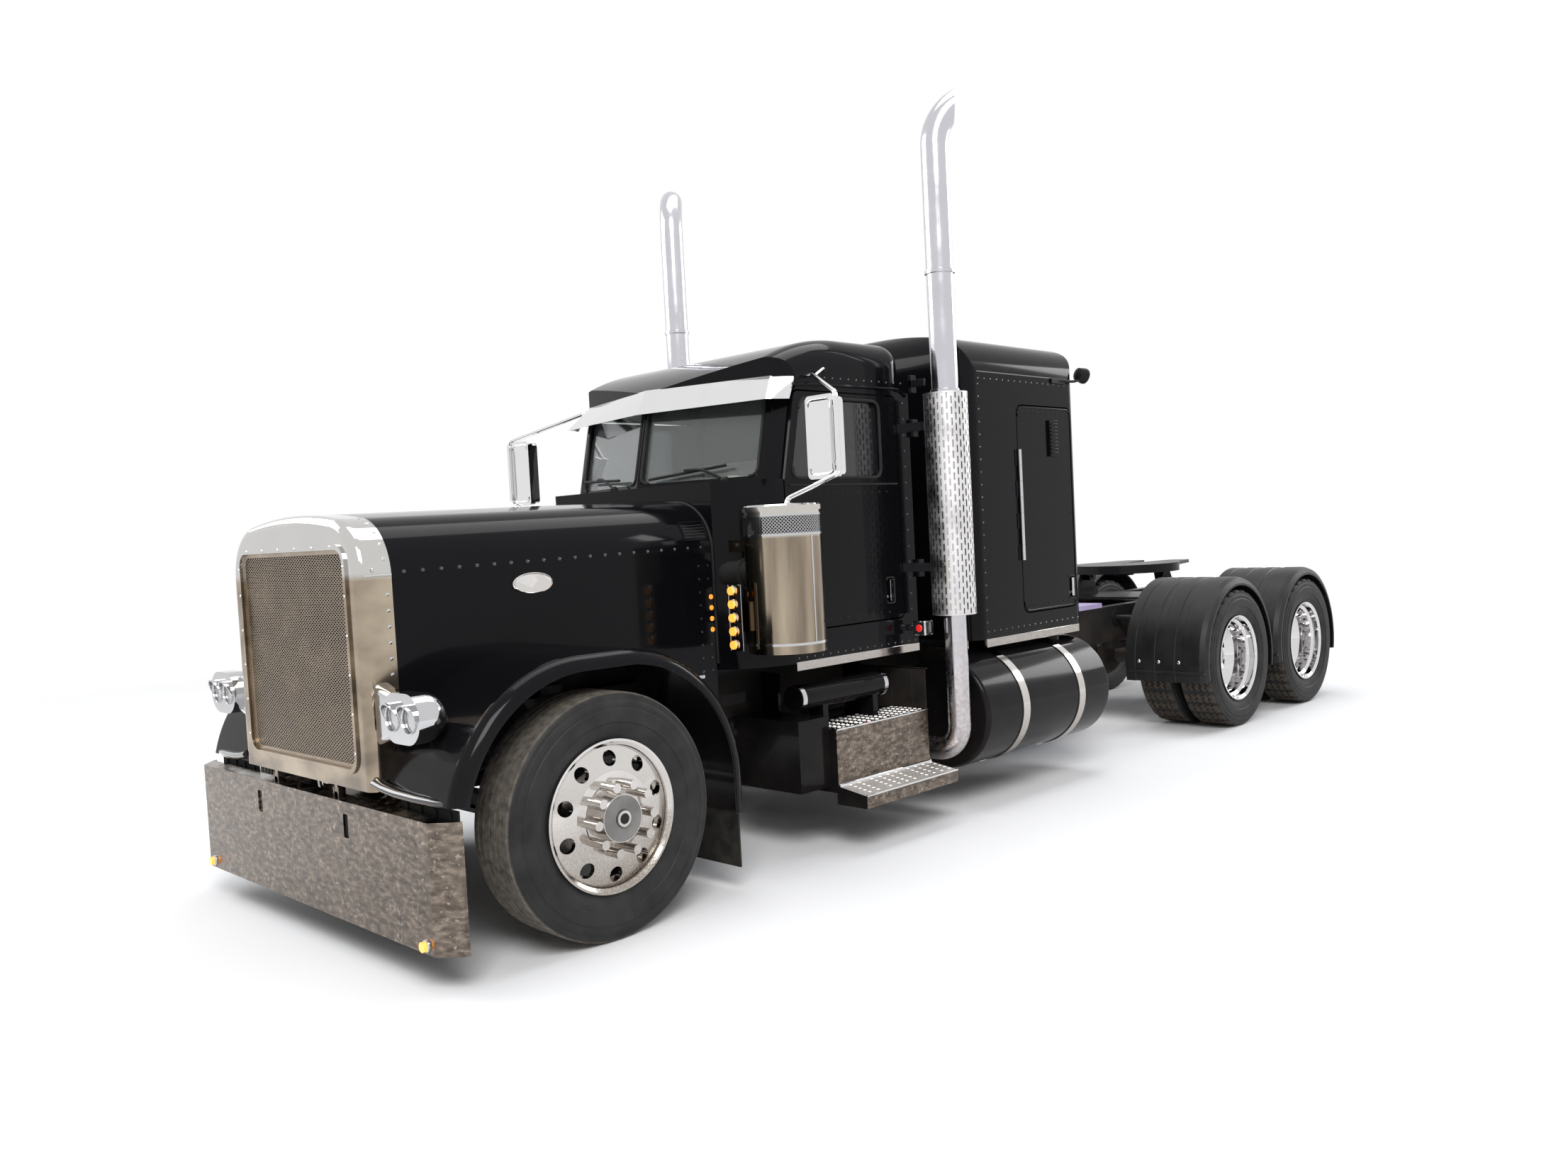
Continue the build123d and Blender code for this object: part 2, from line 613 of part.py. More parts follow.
# Knuckles: yoke about the kingpin, spindle and steering arm
with BuildPart() as knuckle_left:
    for ear_z in (AXLE_Z - 115, AXLE_Z + 75):
        block(KINGPIN_X - 42, KINGPIN_X + 50, -42, 42, ear_z, ear_z + 40)
    block(KINGPIN_X + 39, KINGPIN_X + 56, -60, 60, AXLE_Z - 115, AXLE_Z + 115)
    bar(KINGPIN_X + 50, FRONT_TYRE_X + 145, 0, AXLE_Z, 45)
    arm = [
        (KINGPIN_X - 42, -20), (KINGPIN_X, 42), (TIE_X + 28, TIE_D + 28), (TIE_X - 28, TIE_D + 28),
        (TIE_X - 28, 120),
    ]
    prism(level(AXLE_Z - 115), arm, 40)
    post(TIE_X, TIE_D, AXLE_Z - 162, AXLE_Z - 100, 14)
    post(KINGPIN_X, 0, AXLE_Z - 130, AXLE_Z + 130, KINGPIN_RADIUS + RUN, Mode.SUBTRACT)
with BuildPart() as knuckle_right:
    mirror(knuckle_left.part, about=Plane.YZ)
with BuildPart() as tie_rod:
    rod_z = AXLE_Z - 139
    bar(-TIE_X, TIE_X, TIE_D, rod_z, 16)
    for eye_x in (-TIE_X, TIE_X):
        post(eye_x, TIE_D, rod_z - 19, rod_z + 19, 30)
    for eye_x in (-TIE_X, TIE_X):
        post(eye_x, TIE_D, rod_z - 30, rod_z + 30, 14 + RUN, Mode.SUBTRACT)


def tyre_ring(x, distance):
    """Solid tyre: flat tread, chamfered shoulders and bulged sidewalls."""
    half = TYRE_WIDTH / 2
    tread = half - 32
    with BuildSketch(axle_plane(distance)) as section:
        with BuildLine():
            shoulder = TYRE_RADIUS - 16
            bead = RIM_HALF - 15
            seat = BEAD_RADIUS + SEAT
            Polyline((x - tread, TYRE_RADIUS), (x + tread, TYRE_RADIUS), (x + half - 12, shoulder))
            ThreePointArc((x + half - 12, shoulder), (x + half, 425), (x + bead, RIM_RADIUS + 6))
            rise = RIM_RADIUS + 6
            Polyline((x + bead, rise), (x + bead, seat), (x - bead, seat), (x - bead, rise))
            ThreePointArc((x - bead, RIM_RADIUS + 6), (x - half, 425), (x - half + 12, shoulder))
            Line((x - half + 12, shoulder), (x - tread, TYRE_RADIUS))
        make_face()
    revolve(section.sketch, axis=axle_axis(distance))


def rim_barrel(x):
    """Profile of a drop-centre rim about the tyre's middle plane."""
    outer = [
        (118, 324), (109, 324), (109, 311), (62, 308), (44, 286), (-44, 286),
        (-62, 308), (-109, 311), (-109, 324), (-118, 324), (-118, 314), (-106, 299),
        (-66, 296), (-50, 274), (50, 274), (66, 296), (106, 299), (118, 314),
    ]
    return [(x + a, r) for a, r in outer]


# Front wheels: rim, pierced disc, hub with nut covers, and the brake drum
HAND_HOLES = 10
NUT_CIRCLE = 142.9
with BuildPart() as front_wheel_left:
    x = FRONT_TYRE_X
    turned(0, rim_barrel(x))
    disc = [
        (x + 62, 288), (x + 92, 296), (x + 108, 250), (x + 120, 190), (x + 122, 150), (x + 114, 140),
        (x + 114, 104), (x + 178, 100), (x + 178, 52), (x + 150, 48), (x + 150, 40), (x + 190, 34),
        (x + 190, 0), (x + 148, 0), (x + 148, 45 + RUN), (x - 48, 45 + RUN), (x - 48, 110), (x + 80, 110),
        (x + 80, 195), (x - 60, 195), (x - 60, 212), (x + 92, 212), (x + 84, 250), (x + 46, 276),
    ]
    turned(0, disc)
    with Locations(Plane(origin=(x + 60, st(0), AXLE_Z), z_dir=(1, 0, 0))):
        with PolarLocations(245, HAND_HOLES):
            Cylinder(33, 90, align=(Align.CENTER, Align.CENTER, Align.MIN), mode=Mode.SUBTRACT)
    with Locations(Plane(origin=(x + 100, st(0), AXLE_Z), z_dir=(1, 0, 0))):
        with PolarLocations(NUT_CIRCLE, HAND_HOLES, start_angle=18):
            Cylinder(20, 108, align=(Align.CENTER, Align.CENTER, Align.MIN))
with BuildPart() as front_wheel_right:
    mirror(front_wheel_left.part, about=Plane.YZ)
with BuildPart() as front_tyre_left:
    tyre_ring(FRONT_TYRE_X, 0)
with BuildPart() as front_tyre_right:
    mirror(front_tyre_left.part, about=Plane.YZ)


# Drive wheels: twin rims on one hub, discs back to back, with the brake drum
def twin_wheel(distance):
    """Twin rims, their shared disc, hub and drum at one end of a drive axle."""
    outer_x = REAR_TYRE_X
    inner_x = REAR_TYRE_X - TWIN_SPACING
    mid = (outer_x + inner_x) / 2
    turned(distance, rim_barrel(outer_x))
    turned(distance, rim_barrel(inner_x))
    for way in (-1, 1):
        cone = [
            (mid, 105), (mid + way * 22, 105), (mid + way * 22, 205), (mid + way * 46, 222),
            (mid + way * 128, 280), (mid + way * 98, 290), (mid + way * 16, 228), (mid, 214),
        ]
        turned(distance, cone)
    hub = [
        (mid - 220, HUB_BORE), (mid - 220, 112), (mid + 24, 112), (mid + 24, 108), (mid + 90, 100),
        (mid + 90, 82), (mid + 122, 78), (mid + 122, 0), (mid + 50, 0), (mid + 50, HUB_BORE),
    ]
    turned(distance, hub)
    drum = [(mid - 270, 212), (mid - 20, 212), (mid - 20, 195), (mid - 250, 195), (mid - 270, 205)]
    turned(distance, drum)
    with Locations(Plane(origin=(mid - 60, st(distance), AXLE_Z), z_dir=(1, 0, 0))):
        with PolarLocations(245, HAND_HOLES):
            Cylinder(31, 120, align=(Align.CENTER, Align.CENTER, Align.MIN), mode=Mode.SUBTRACT)
    with Locations(Plane(origin=(mid + 15, st(distance), AXLE_Z), z_dir=(1, 0, 0))):
        with PolarLocations(NUT_CIRCLE, HAND_HOLES, start_angle=18):
            Cylinder(19, 75, align=(Align.CENTER, Align.CENTER, Align.MIN))


with BuildPart() as drive_wheel_1_left:
    twin_wheel(DRIVES[0])
with BuildPart() as drive_wheel_2_left:
    twin_wheel(DRIVES[1])
with BuildPart() as drive_wheel_1_right:
    mirror(drive_wheel_1_left.part, about=Plane.YZ)
with BuildPart() as drive_wheel_2_right:
    mirror(drive_wheel_2_left.part, about=Plane.YZ)
with BuildPart() as drive_tyres_1_left:
    tyre_ring(REAR_TYRE_X, DRIVES[0])
    tyre_ring(REAR_TYRE_X - TWIN_SPACING, DRIVES[0])
with BuildPart() as drive_tyres_2_left:
    tyre_ring(REAR_TYRE_X, DRIVES[1])
    tyre_ring(REAR_TYRE_X - TWIN_SPACING, DRIVES[1])
with BuildPart() as drive_tyres_1_right:
    mirror(drive_tyres_1_left.part, about=Plane.YZ)
with BuildPart() as drive_tyres_2_right:
    mirror(drive_tyres_2_left.part, about=Plane.YZ)


# Cab: one outer form and one inner form, then the panels are cut from their difference
def tub_plan(inset):
    """Plan of the cab below the belt: the cowl widens in an arc from the hood to the doors."""
    half = CAB_HALF - inset
    cowl = COWL_HALF - inset / 2
    front = COWL_FRONT + inset
    rear = CAB_REAR - inset
    mid = (COWL_HALF + 0.64 * (CAB_HALF - COWL_HALF) - inset, COWL_FRONT + 118 + inset / 2)
    with BuildLine() as outline:
        Line((-cowl, front), (cowl, front))
        ThreePointArc((cowl, front), mid, (half, PILLAR_D))
        Line((half, PILLAR_D), (half, rear))
        Line((half, rear), (-half, rear))
        Line((-half, rear), (-half, PILLAR_D))
        ThreePointArc((-half, PILLAR_D), (-mid[0], mid[1]), (-cowl, front))
    make_face(outline.edges())


def glass_plan(z, inset):
    """Plan of the cab above the belt at one height: a raked vee of two panes."""
    shift = RAKE * (z - BELT_Z) + inset
    half = CAB_HALF - inset
    rear = CAB_REAR - inset
    corner = GLASS_CORNER_X - inset / 2
    return [
        (0, GLASS_APEX + shift), (corner, GLASS_CORNER_D + shift), (half, PILLAR_D + shift), (half, rear),
        (-half, rear), (-half, PILLAR_D + shift), (-corner, GLASS_CORNER_D + shift),
    ]


def upper_loft(z0, z1, inset):
    """The cab between two heights above the belt."""
    with BuildSketch(level(z0)) as foot:
        with BuildLine():
            Polyline(*glass_plan(z0, inset), close=True)
        make_face()
    with BuildSketch(level(z1)) as head:
        with BuildLine():
            Polyline(*glass_plan(z1, inset), close=True)
        make_face()
    return loft([foot.sketch, head.sketch], ruled=True, mode=Mode.PRIVATE)


ROOF_SHOULDER = 150.0
ROOF_FRONT = 1252.0


def roof_solid(inset):
    """Roof block above the header, falling to the visor and round along its sides."""
    half = CAB_HALF - inset
    top = CAB_TOP - inset
    rear = CAB_REAR - inset
    with BuildPart() as roof:
        with BuildSketch(side(-half)) as profile:
            with BuildLine():
                ThreePointArc((ROOF_FRONT + inset, HEADER_Z + 40), (1560, top - 72), (1990, top))
                Line((1990, top), (rear - 110, top))
                ThreePointArc((rear - 110, top), (rear - 32, top - 32), (rear, top - 110))
                front = ROOF_FRONT + inset
                Polyline((rear, top - 110), (rear, HEADER_Z), (front, HEADER_Z), (front, HEADER_Z + 40))
            make_face()
        extrude(profile.sketch, amount=2 * half)
        long_edges = roof.edges().filter_by(
            lambda edge: abs(abs(edge.center().X) - half) < 1
            and edge.center().Z > HEADER_Z + 60
            and edge.center().Y < st(rear - 60)
        )
        fillet(long_edges, ROOF_SHOULDER - inset)
        with BuildSketch(level(HEADER_Z - 10)) as plan:
            with BuildLine():
                Polyline(*glass_plan(HEADER_Z, inset), close=True)
            make_face()
        extrude(plan.sketch, amount=BIG, mode=Mode.INTERSECT)
    return roof.part


with BuildPart() as cab_outer:
    with BuildSketch(level(CAB_BOTTOM)) as tub:
        tub_plan(0.0)
    extrude(tub.sketch, amount=BELT_Z - CAB_BOTTOM)
    add(upper_loft(BELT_Z, HEADER_Z, 0.0))
with BuildPart() as cab_inner:
    with BuildSketch(level(CAB_BOTTOM + FLOOR_WALL)) as tub:
        tub_plan(CAB_WALL)
    extrude(tub.sketch, amount=BELT_Z - CAB_BOTTOM - FLOOR_WALL - 40)
    add(upper_loft(BELT_Z - 41, HEADER_Z + 1, CAB_WALL))

DOOR_OUTLINE = [
    (DOOR_FRONT, DOOR_LOW), (DOOR_FRONT, BELT_Z - 10),
    (DOOR_FRONT + RAKE * (HEADER_Z - BELT_Z) - 4, HEADER_Z - 20),
    (DOOR_REAR, HEADER_Z - 20), (DOOR_REAR, DOOR_LOW),
]
WINDOW_TOP = HEADER_Z - 58.0
WINDOW = [
    (DOOR_FRONT + 62, BELT_Z + 2), (DOOR_FRONT + 152, WINDOW_TOP), (DOOR_REAR - 155, WINDOW_TOP),
    (DOOR_REAR - 155, BELT_Z + 2),
]
PASSAGE_HALF = 340.0
PASSAGE_LOW = 1130.0
PASSAGE_HIGH = 2200.0
with BuildPart() as cab_shell:
    add(cab_outer.part)
    add(cab_inner.part, mode=Mode.SUBTRACT)
    prism(side(-BIG / 2), DOOR_OUTLINE, BIG, Mode.SUBTRACT, 40.0)
    passage = (CAB_REAR - 200, CAB_REAR + 50, PASSAGE_LOW, PASSAGE_HIGH)
    block(-PASSAGE_HALF, PASSAGE_HALF, *passage, Mode.SUBTRACT)

# Windscreen panes, and the openings that they fill
PANE_IN = 24.0
PANE_OUT = 745.0
PANE_LOW = BELT_Z + 25.0
PANE_HIGH = HEADER_Z - 35.0
PANE_SLOPE = (GLASS_CORNER_D - GLASS_APEX) / GLASS_CORNER_X


def pane(front, rear):
    """One raked pane between two depths behind the vee's outer face."""
    shift = GLASS_APEX + RAKE * (PANE_LOW - BELT_Z)
    plan = [
        (PANE_IN, shift + PANE_SLOPE * PANE_IN + front), (PANE_OUT, shift + PANE_SLOPE * PANE_OUT + front),
        (PANE_OUT, shift + PANE_SLOPE * PANE_OUT + rear), (PANE_IN, shift + PANE_SLOPE * PANE_IN + rear),
    ]
    with BuildSketch(level(PANE_LOW)) as foot:
        with BuildLine():
            Polyline(*plan, close=True)
        make_face()
    lean = sqrt(1 + RAKE**2)
    rise = (PANE_HIGH - PANE_LOW) * lean
    return extrude(foot.sketch, amount=rise, dir=(0, RAKE / lean, 1 / lean), mode=Mode.PRIVATE)


with BuildPart() as windscreen:
    add(pane(14.0, 22.0))
    mirror(about=Plane.YZ)
with BuildPart() as pane_holes:
    add(pane(-60.0, 160.0))
    mirror(about=Plane.YZ)

with BuildPart() as cowl_hinges:
    for base in DOOR_HINGES:
        knuckles(CAB_HALF, DOOR_HINGE_D, ((base, base + 18), (base + 42, base + 60)), -1, 12)
        post(CAB_HALF + BARREL, DOOR_HINGE_D, base, base + 60, BARREL_PIN)
    mirror(about=Plane.YZ)
with BuildPart() as cab_cowl:
    add(cab_shell.part)
    add(pane_holes.part, mode=Mode.SUBTRACT)
    block(-BIG, BIG, 0, CAB_SPLIT, CAB_BOTTOM + FLOOR_WALL, HEADER_Z, Mode.INTERSECT)
    add(cowl_hinges.part)
with BuildPart() as cab_rear:
    add(cab_shell.part)
    block(-BIG, BIG, CAB_SPLIT, 3000, CAB_BOTTOM + FLOOR_WALL, HEADER_Z, Mode.INTERSECT)
SILL_TOP = CAB_BOTTOM + FLOOR_WALL
with BuildPart() as cab_floor:
    add(cab_shell.part)
    block(-BIG, BIG, 0, 3000, CAB_BOTTOM, SILL_TOP, Mode.INTERSECT)
    for mount_d in (1250.0, 2150.0):
        for mount_x in (-425.0, 350.0):
            block(mount_x, mount_x + 75, mount_d, mount_d + 120, FRAME_TOP, CAB_BOTTOM)
roof_form = roof_solid(0.0)
with BuildPart() as cab_roof:
    add(roof_form)
    block(-CAB_HALF + 60, CAB_HALF - 60, 1560, CAB_REAR - 60, HEADER_Z - 5, CAB_TOP - 130, Mode.SUBTRACT)


# Doors: as thick as the wall, window cut, hung at their front edges
def door_outline(gap):
    """Door outline, drawn in by the gap all round."""
    return [
        (DOOR_FRONT + gap, DOOR_LOW + gap), (DOOR_FRONT + gap, BELT_Z - 10),
        (DOOR_FRONT + RAKE * (HEADER_Z - BELT_Z) - 4 + gap, HEADER_Z - 20 - gap),
        (DOOR_REAR - gap, HEADER_Z - 20 - gap), (DOOR_REAR - gap, DOOR_LOW + gap),
    ]


with BuildPart() as door_left:
    prism(side(CAB_HALF - CAB_WALL + 4), door_outline(DOOR_GAP), CAB_WALL - 4, Mode.ADD, 36.0)
    prism(side(CAB_HALF - BIG / 10), WINDOW, BIG / 5, Mode.SUBTRACT, 45.0)
    handle(CAB_HALF, DOOR_REAR - 150, DOOR_LOW + 95)
    for base in DOOR_HINGES:
        knuckles(CAB_HALF, DOOR_HINGE_D, ((base + 19, base + 41),), 1, 2)
        post(CAB_HALF + BARREL, DOOR_HINGE_D, base, base + 60, BARREL_PIN + RUN, Mode.SUBTRACT)
with BuildPart() as door_right:
    mirror(door_left.part, about=Plane.YZ)
with BuildPart() as door_glass_left:
    prism(side(CAB_HALF - 26), WINDOW, 6, Mode.ADD, 45.0)
with BuildPart() as door_glass_right:
    mirror(door_glass_left.part, about=Plane.YZ)

# Inside the cab: dash with the steering wheel, and two seats
WHEEL_X = 420.0
with BuildPart() as dashboard:
    dash = [(1210, 1500), (1400, 1500), (1450, 1700), (1440, 1860), (1330, 1885), (1210, 1840)]
    prism(side(-700), dash, 1400)
    block(-560, -440, COWL_FRONT + CAB_WALL, 1212, 1560, 1700)
    block(440, 560, COWL_FRONT + CAB_WALL, 1212, 1560, 1700)
    with Locations(Location(Plane(origin=(WHEEL_X, st(1640), 1830), z_dir=(0, 0.62, 0.78)))):
        Torus(225, 16)
        Cylinder(60, 30)
        Box(430, 40, 14)
        Cylinder(26, 330, align=(Align.CENTER, Align.CENTER, Align.MAX))
with BuildPart() as seats:
    block(WHEEL_X - 150, WHEEL_X + 150, 1900, 2200, SILL_TOP, 1330)
    seat = [(1800, 1330), (2250, 1330), (2380, 2120), (2270, 2120), (2170, 1470), (1800, 1480)]
    prism(side(WHEEL_X - 250), seat, 500)
    mirror(about=Plane.YZ)

# Sun visor: two polished panels in a vee over the windscreen, with short end returns
VISOR_TOP = HEADER_Z + 62.0
VISOR_LOW = HEADER_Z - 75.0
VISOR_WALL = 8.0
HEADER_SHIFT = RAKE * (HEADER_Z - BELT_Z)
APEX_HEAD = GLASS_APEX + HEADER_SHIFT
CORNER_HEAD = GLASS_CORNER_D + HEADER_SHIFT
PILLAR_HEAD = PILLAR_D + HEADER_SHIFT
VISOR_HEAD = [
    (0, APEX_HEAD + 2), (GLASS_CORNER_X - 20, CORNER_HEAD - 1), (CAB_HALF - 10, PILLAR_HEAD + 6),
]
VISOR_FOOT = [
    (0, APEX_HEAD - 82), (GLASS_CORNER_X + 60, CORNER_HEAD - 126), (CAB_HALF + 25, PILLAR_HEAD - 84),
]


def strip(start, end, z):
    """One edge of a visor panel in plan, as thick as the sheet."""
    with BuildSketch(level(z)) as edge:
        with BuildLine():
            Polyline(start, end, (end[0], end[1] + VISOR_WALL), (start[0], start[1] + VISOR_WALL), close=True)
        make_face()
    return edge.sketch


with BuildPart() as sun_visor:
    for panel in (0, 1):
        foot = strip(VISOR_FOOT[panel], VISOR_FOOT[panel + 1], VISOR_LOW)
        head = strip(VISOR_HEAD[panel], VISOR_HEAD[panel + 1], VISOR_TOP)
        loft([foot, head], ruled=True)
    add(cab_outer.part, mode=Mode.SUBTRACT)
    add(cab_roof.part, mode=Mode.SUBTRACT)
    mirror(about=Plane.YZ)


# Sleeper: outer and inner forms, then panels
def sleeper_solid(inset):
    """Sleeper block: crowned roof with round shoulders, round upright corners."""
    half = SLEEPER_HALF - inset
    crown = SLEEPER_CROWN - inset
    shoulder = SLEEPER_SHOULDER - inset
    front = SLEEPER_FRONT + inset
    rear = SLEEPER_REAR - inset
    with BuildPart() as body:
        with BuildSketch(across(front)) as face:
            with BuildLine():
                left_side = Line((-half, SLEEPER_BOTTOM), (-half, SLEEPER_SEAM))
                left = JernArc(left_side @ 1, (0, 1), shoulder, -82)
                right_side = Line((half, SLEEPER_BOTTOM), (half, SLEEPER_SEAM))
                right = JernArc(right_side @ 1, (0, 1), shoulder, 82)
                ThreePointArc(left @ 1, (0, crown), right @ 1)
                Line((-half, SLEEPER_BOTTOM), (half, SLEEPER_BOTTOM))
            make_face()
        extrude(face.sketch, amount=front - rear)
        with BuildSketch(level(SLEEPER_BOTTOM)) as plan:
            with Locations((0, (front + rear) / 2)):
                RectangleRounded(2 * half, rear - front, SLEEPER_CORNER - inset / 2)
        extrude(plan.sketch, amount=BIG, mode=Mode.INTERSECT)
        with BuildSketch(side(-half)) as profile:
            with BuildLine():
                roof = Polyline((front, SLEEPER_BOTTOM), (front, SLEEPER_SEAM + 60))
                ThreePointArc((front, SLEEPER_SEAM + 60), (front + 70, crown - 70), (front + 240, crown))
                Line((front + 240, crown), (rear - 160, crown))
                ThreePointArc((rear - 160, crown), (rear - 47, crown - 47), (rear, crown - 160))
                Polyline((rear, crown - 160), (rear, SLEEPER_BOTTOM), (front, SLEEPER_BOTTOM))
            make_face()
        extrude(profile.sketch, amount=2 * half, mode=Mode.INTERSECT)
    return body.part


sleeper_form = sleeper_solid(0.0)
with BuildPart() as sleeper_shell:
    add(sleeper_form)
    room_half = SLEEPER_HALF - SLEEPER_WALL
    room_ends = (SLEEPER_FRONT + SLEEPER_WALL, SLEEPER_REAR - SLEEPER_WALL)
    block(-room_half, room_half, *room_ends, SLEEPER_BOTTOM + FLOOR_WALL, SLEEPER_SEAM, Mode.SUBTRACT)
    attic_half = SLEEPER_HALF - 130
    attic = (SLEEPER_FRONT + 110, SLEEPER_REAR - 110, SLEEPER_SEAM - 5, SLEEPER_CROWN - 110)
    block(-attic_half, attic_half, *attic, Mode.SUBTRACT)
    bunk = [(BUNK_FRONT, BUNK_LOW), (BUNK_REAR, BUNK_LOW), (BUNK_REAR, BUNK_HIGH), (BUNK_FRONT, BUNK_HIGH)]
    prism(side(-BIG / 2), bunk, BIG, Mode.SUBTRACT, 60.0)
    passage = (SLEEPER_FRONT - 50, SLEEPER_FRONT + 100, PASSAGE_LOW, PASSAGE_HIGH)
    block(-PASSAGE_HALF, PASSAGE_HALF, *passage, Mode.SUBTRACT)
FLOOR_TOP = SLEEPER_BOTTOM + FLOOR_WALL
with BuildPart() as sleeper_floor:
    add(sleeper_shell.part)
    block(-BIG, BIG, 2000, 5000, SLEEPER_BOTTOM, FLOOR_TOP, Mode.INTERSECT)
    for mount_d in (2980.0, 3860.0):
        for mount_x in (-425.0, 350.0):
            block(mount_x, mount_x + 75, mount_d, mount_d + 100, FRAME_TOP, SLEEPER_BOTTOM)
with BuildPart() as sleeper_ends:
    add(sleeper_shell.part)
    block(-BIG, BIG, 2000, 5000, FLOOR_TOP, SLEEPER_SEAM, Mode.INTERSECT)
    side_front = SLEEPER_FRONT + SLEEPER_CORNER
    side_rear = SLEEPER_REAR - SLEEPER_CORNER + 20
    block(-BIG, BIG, side_front, side_rear, 0, BIG, Mode.SUBTRACT)
BUNK_SPANS = []
for knuckle in range(BUNK_KNUCKLES):
    foot = BUNK_HINGE_LOW + knuckle * BUNK_KNUCKLE
    BUNK_SPANS.append((foot, foot + BUNK_KNUCKLE - 1))
with BuildPart() as bunk_hinges:
    knuckles(SLEEPER_HALF, BUNK_HINGE_D, BUNK_SPANS[0::2], -1, 2)
    post(SLEEPER_HALF + BARREL, BUNK_HINGE_D, BUNK_SPANS[0][0], BUNK_SPANS[-1][1], BARREL_PIN)
    mirror(about=Plane.YZ)
with BuildPart() as sleeper_sides:
    add(sleeper_shell.part)
    block(-BIG, BIG, side_front, side_rear, FLOOR_TOP, SLEEPER_SEAM, Mode.INTERSECT)
    add(bunk_hinges.part)
with BuildPart() as sleeper_roof:
    add(sleeper_shell.part)
    block(-BIG, BIG, 2000, 5000, SLEEPER_SEAM, BIG, Mode.INTERSECT)
with BuildPart() as bunk_door_left:
    bunk = [
        (BUNK_FRONT + DOOR_GAP, BUNK_LOW + DOOR_GAP), (BUNK_REAR - DOOR_GAP, BUNK_LOW + DOOR_GAP),
        (BUNK_REAR - DOOR_GAP, BUNK_HIGH - DOOR_GAP), (BUNK_FRONT + DOOR_GAP, BUNK_HIGH - DOOR_GAP),
    ]
    prism(side(SLEEPER_HALF - SLEEPER_WALL), bunk, SLEEPER_WALL, Mode.ADD, 52.0)
    handle(SLEEPER_HALF, BUNK_REAR - 95, BUNK_LOW + 60)
    knuckles(SLEEPER_HALF, BUNK_HINGE_D, BUNK_SPANS[1::2], 1, 2)
    post(SLEEPER_HALF + BARREL, BUNK_HINGE_D, BUNK_HINGE_LOW, BUNK_HIGH, BARREL_PIN + RUN, Mode.SUBTRACT)
with BuildPart() as bunk_door_right:
    mirror(bunk_door_left.part, about=Plane.YZ)

# Folded boot between cab and sleeper, around the passage
BOOT_FOLDS = 5
with BuildPart() as boot:
    wide = PASSAGE_HALF + 70
    block(-wide + 25, wide - 25, CAB_REAR, SLEEPER_FRONT, PASSAGE_LOW - 45, PASSAGE_HIGH + 45)
    fold = (SLEEPER_FRONT - CAB_REAR) / (2 * BOOT_FOLDS)
    for number in range(BOOT_FOLDS):
        start = CAB_REAR + (2 * number + 0.5) * fold
        block(-wide, wide, start, start + fold, PASSAGE_LOW - 70, PASSAGE_HIGH + 70)
    passage = (CAB_REAR - 5, SLEEPER_FRONT + 5, PASSAGE_LOW, PASSAGE_HIGH)
    block(-PASSAGE_HALF, PASSAGE_HALF, *passage, Mode.SUBTRACT)

# Fuel tanks with rolled ends, air tanks over the steps, and the brackets that strap them to the rails
TANK_STRAPS = (3000.0, 3630.0)
STRAP_WIDTH = 70.0
with BuildPart() as fuel_tank:
    lying(TANK_X, TANK_FRONT, TANK_REAR, TANK_Z, TANK_RADIUS)
    end_edges = fuel_tank.edges().filter_by(GeomType.CIRCLE)
    fillet(end_edges, 28.0)
with BuildPart() as tanks:
    add(fuel_tank.part)
    post(TANK_X + 40, TANK_REAR - 230, TANK_Z + TANK_RADIUS - 30, TANK_Z + TANK_RADIUS + 28, 55)
    lying(AIR_X, AIR_FRONT, AIR_REAR, AIR_Z, AIR_RADIUS)
    for saddle_d in (STEP_FRONT + 30, AIR_REAR - 120):
        block(AIR_X - 50, AIR_X + 50, saddle_d, saddle_d + 40, STEP_TOP, AIR_Z - 40)
    mirror(about=Plane.YZ)
with BuildPart() as tank_brackets:
    for station in TANK_STRAPS:
        with BuildSketch(across(station)) as strap:
            with BuildLine():
                Polyline(
                    (FRAME_HALF, 940), (640, 940), (TANK_X, TANK_Z), (TANK_X, 200), (640, 205),
                    (FRAME_HALF, 470), close=True,
                )
            make_face()
            with Locations((TANK_X, TANK_Z)):
                Circle(TANK_RADIUS + 6)
                Circle(TANK_RADIUS + SEAT, mode=Mode.SUBTRACT)
        extrude(strap.sketch, amount=-STRAP_WIDTH)
    mirror(about=Plane.YZ)

# Step boxes hung from the rails below the doors
with BuildPart() as step_boxes:
    stair = [
        (480, 300), (1000, 300), (1000, 240), (1200, 240), (1200, 305), (1010, 335), (1000, STEP_TOP),
        (480, STEP_TOP),
    ]
    prism(across(STEP_FRONT), stair, STEP_FRONT - STEP_REAR)
    block(480, 960, 1335, STEP_FRONT, 330, 700)
    for hanger_d in (1600.0, 2280.0):
        block(FRAME_HALF, 560, hanger_d, hanger_d + 20, 400, 900)
    mirror(about=Plane.YZ)

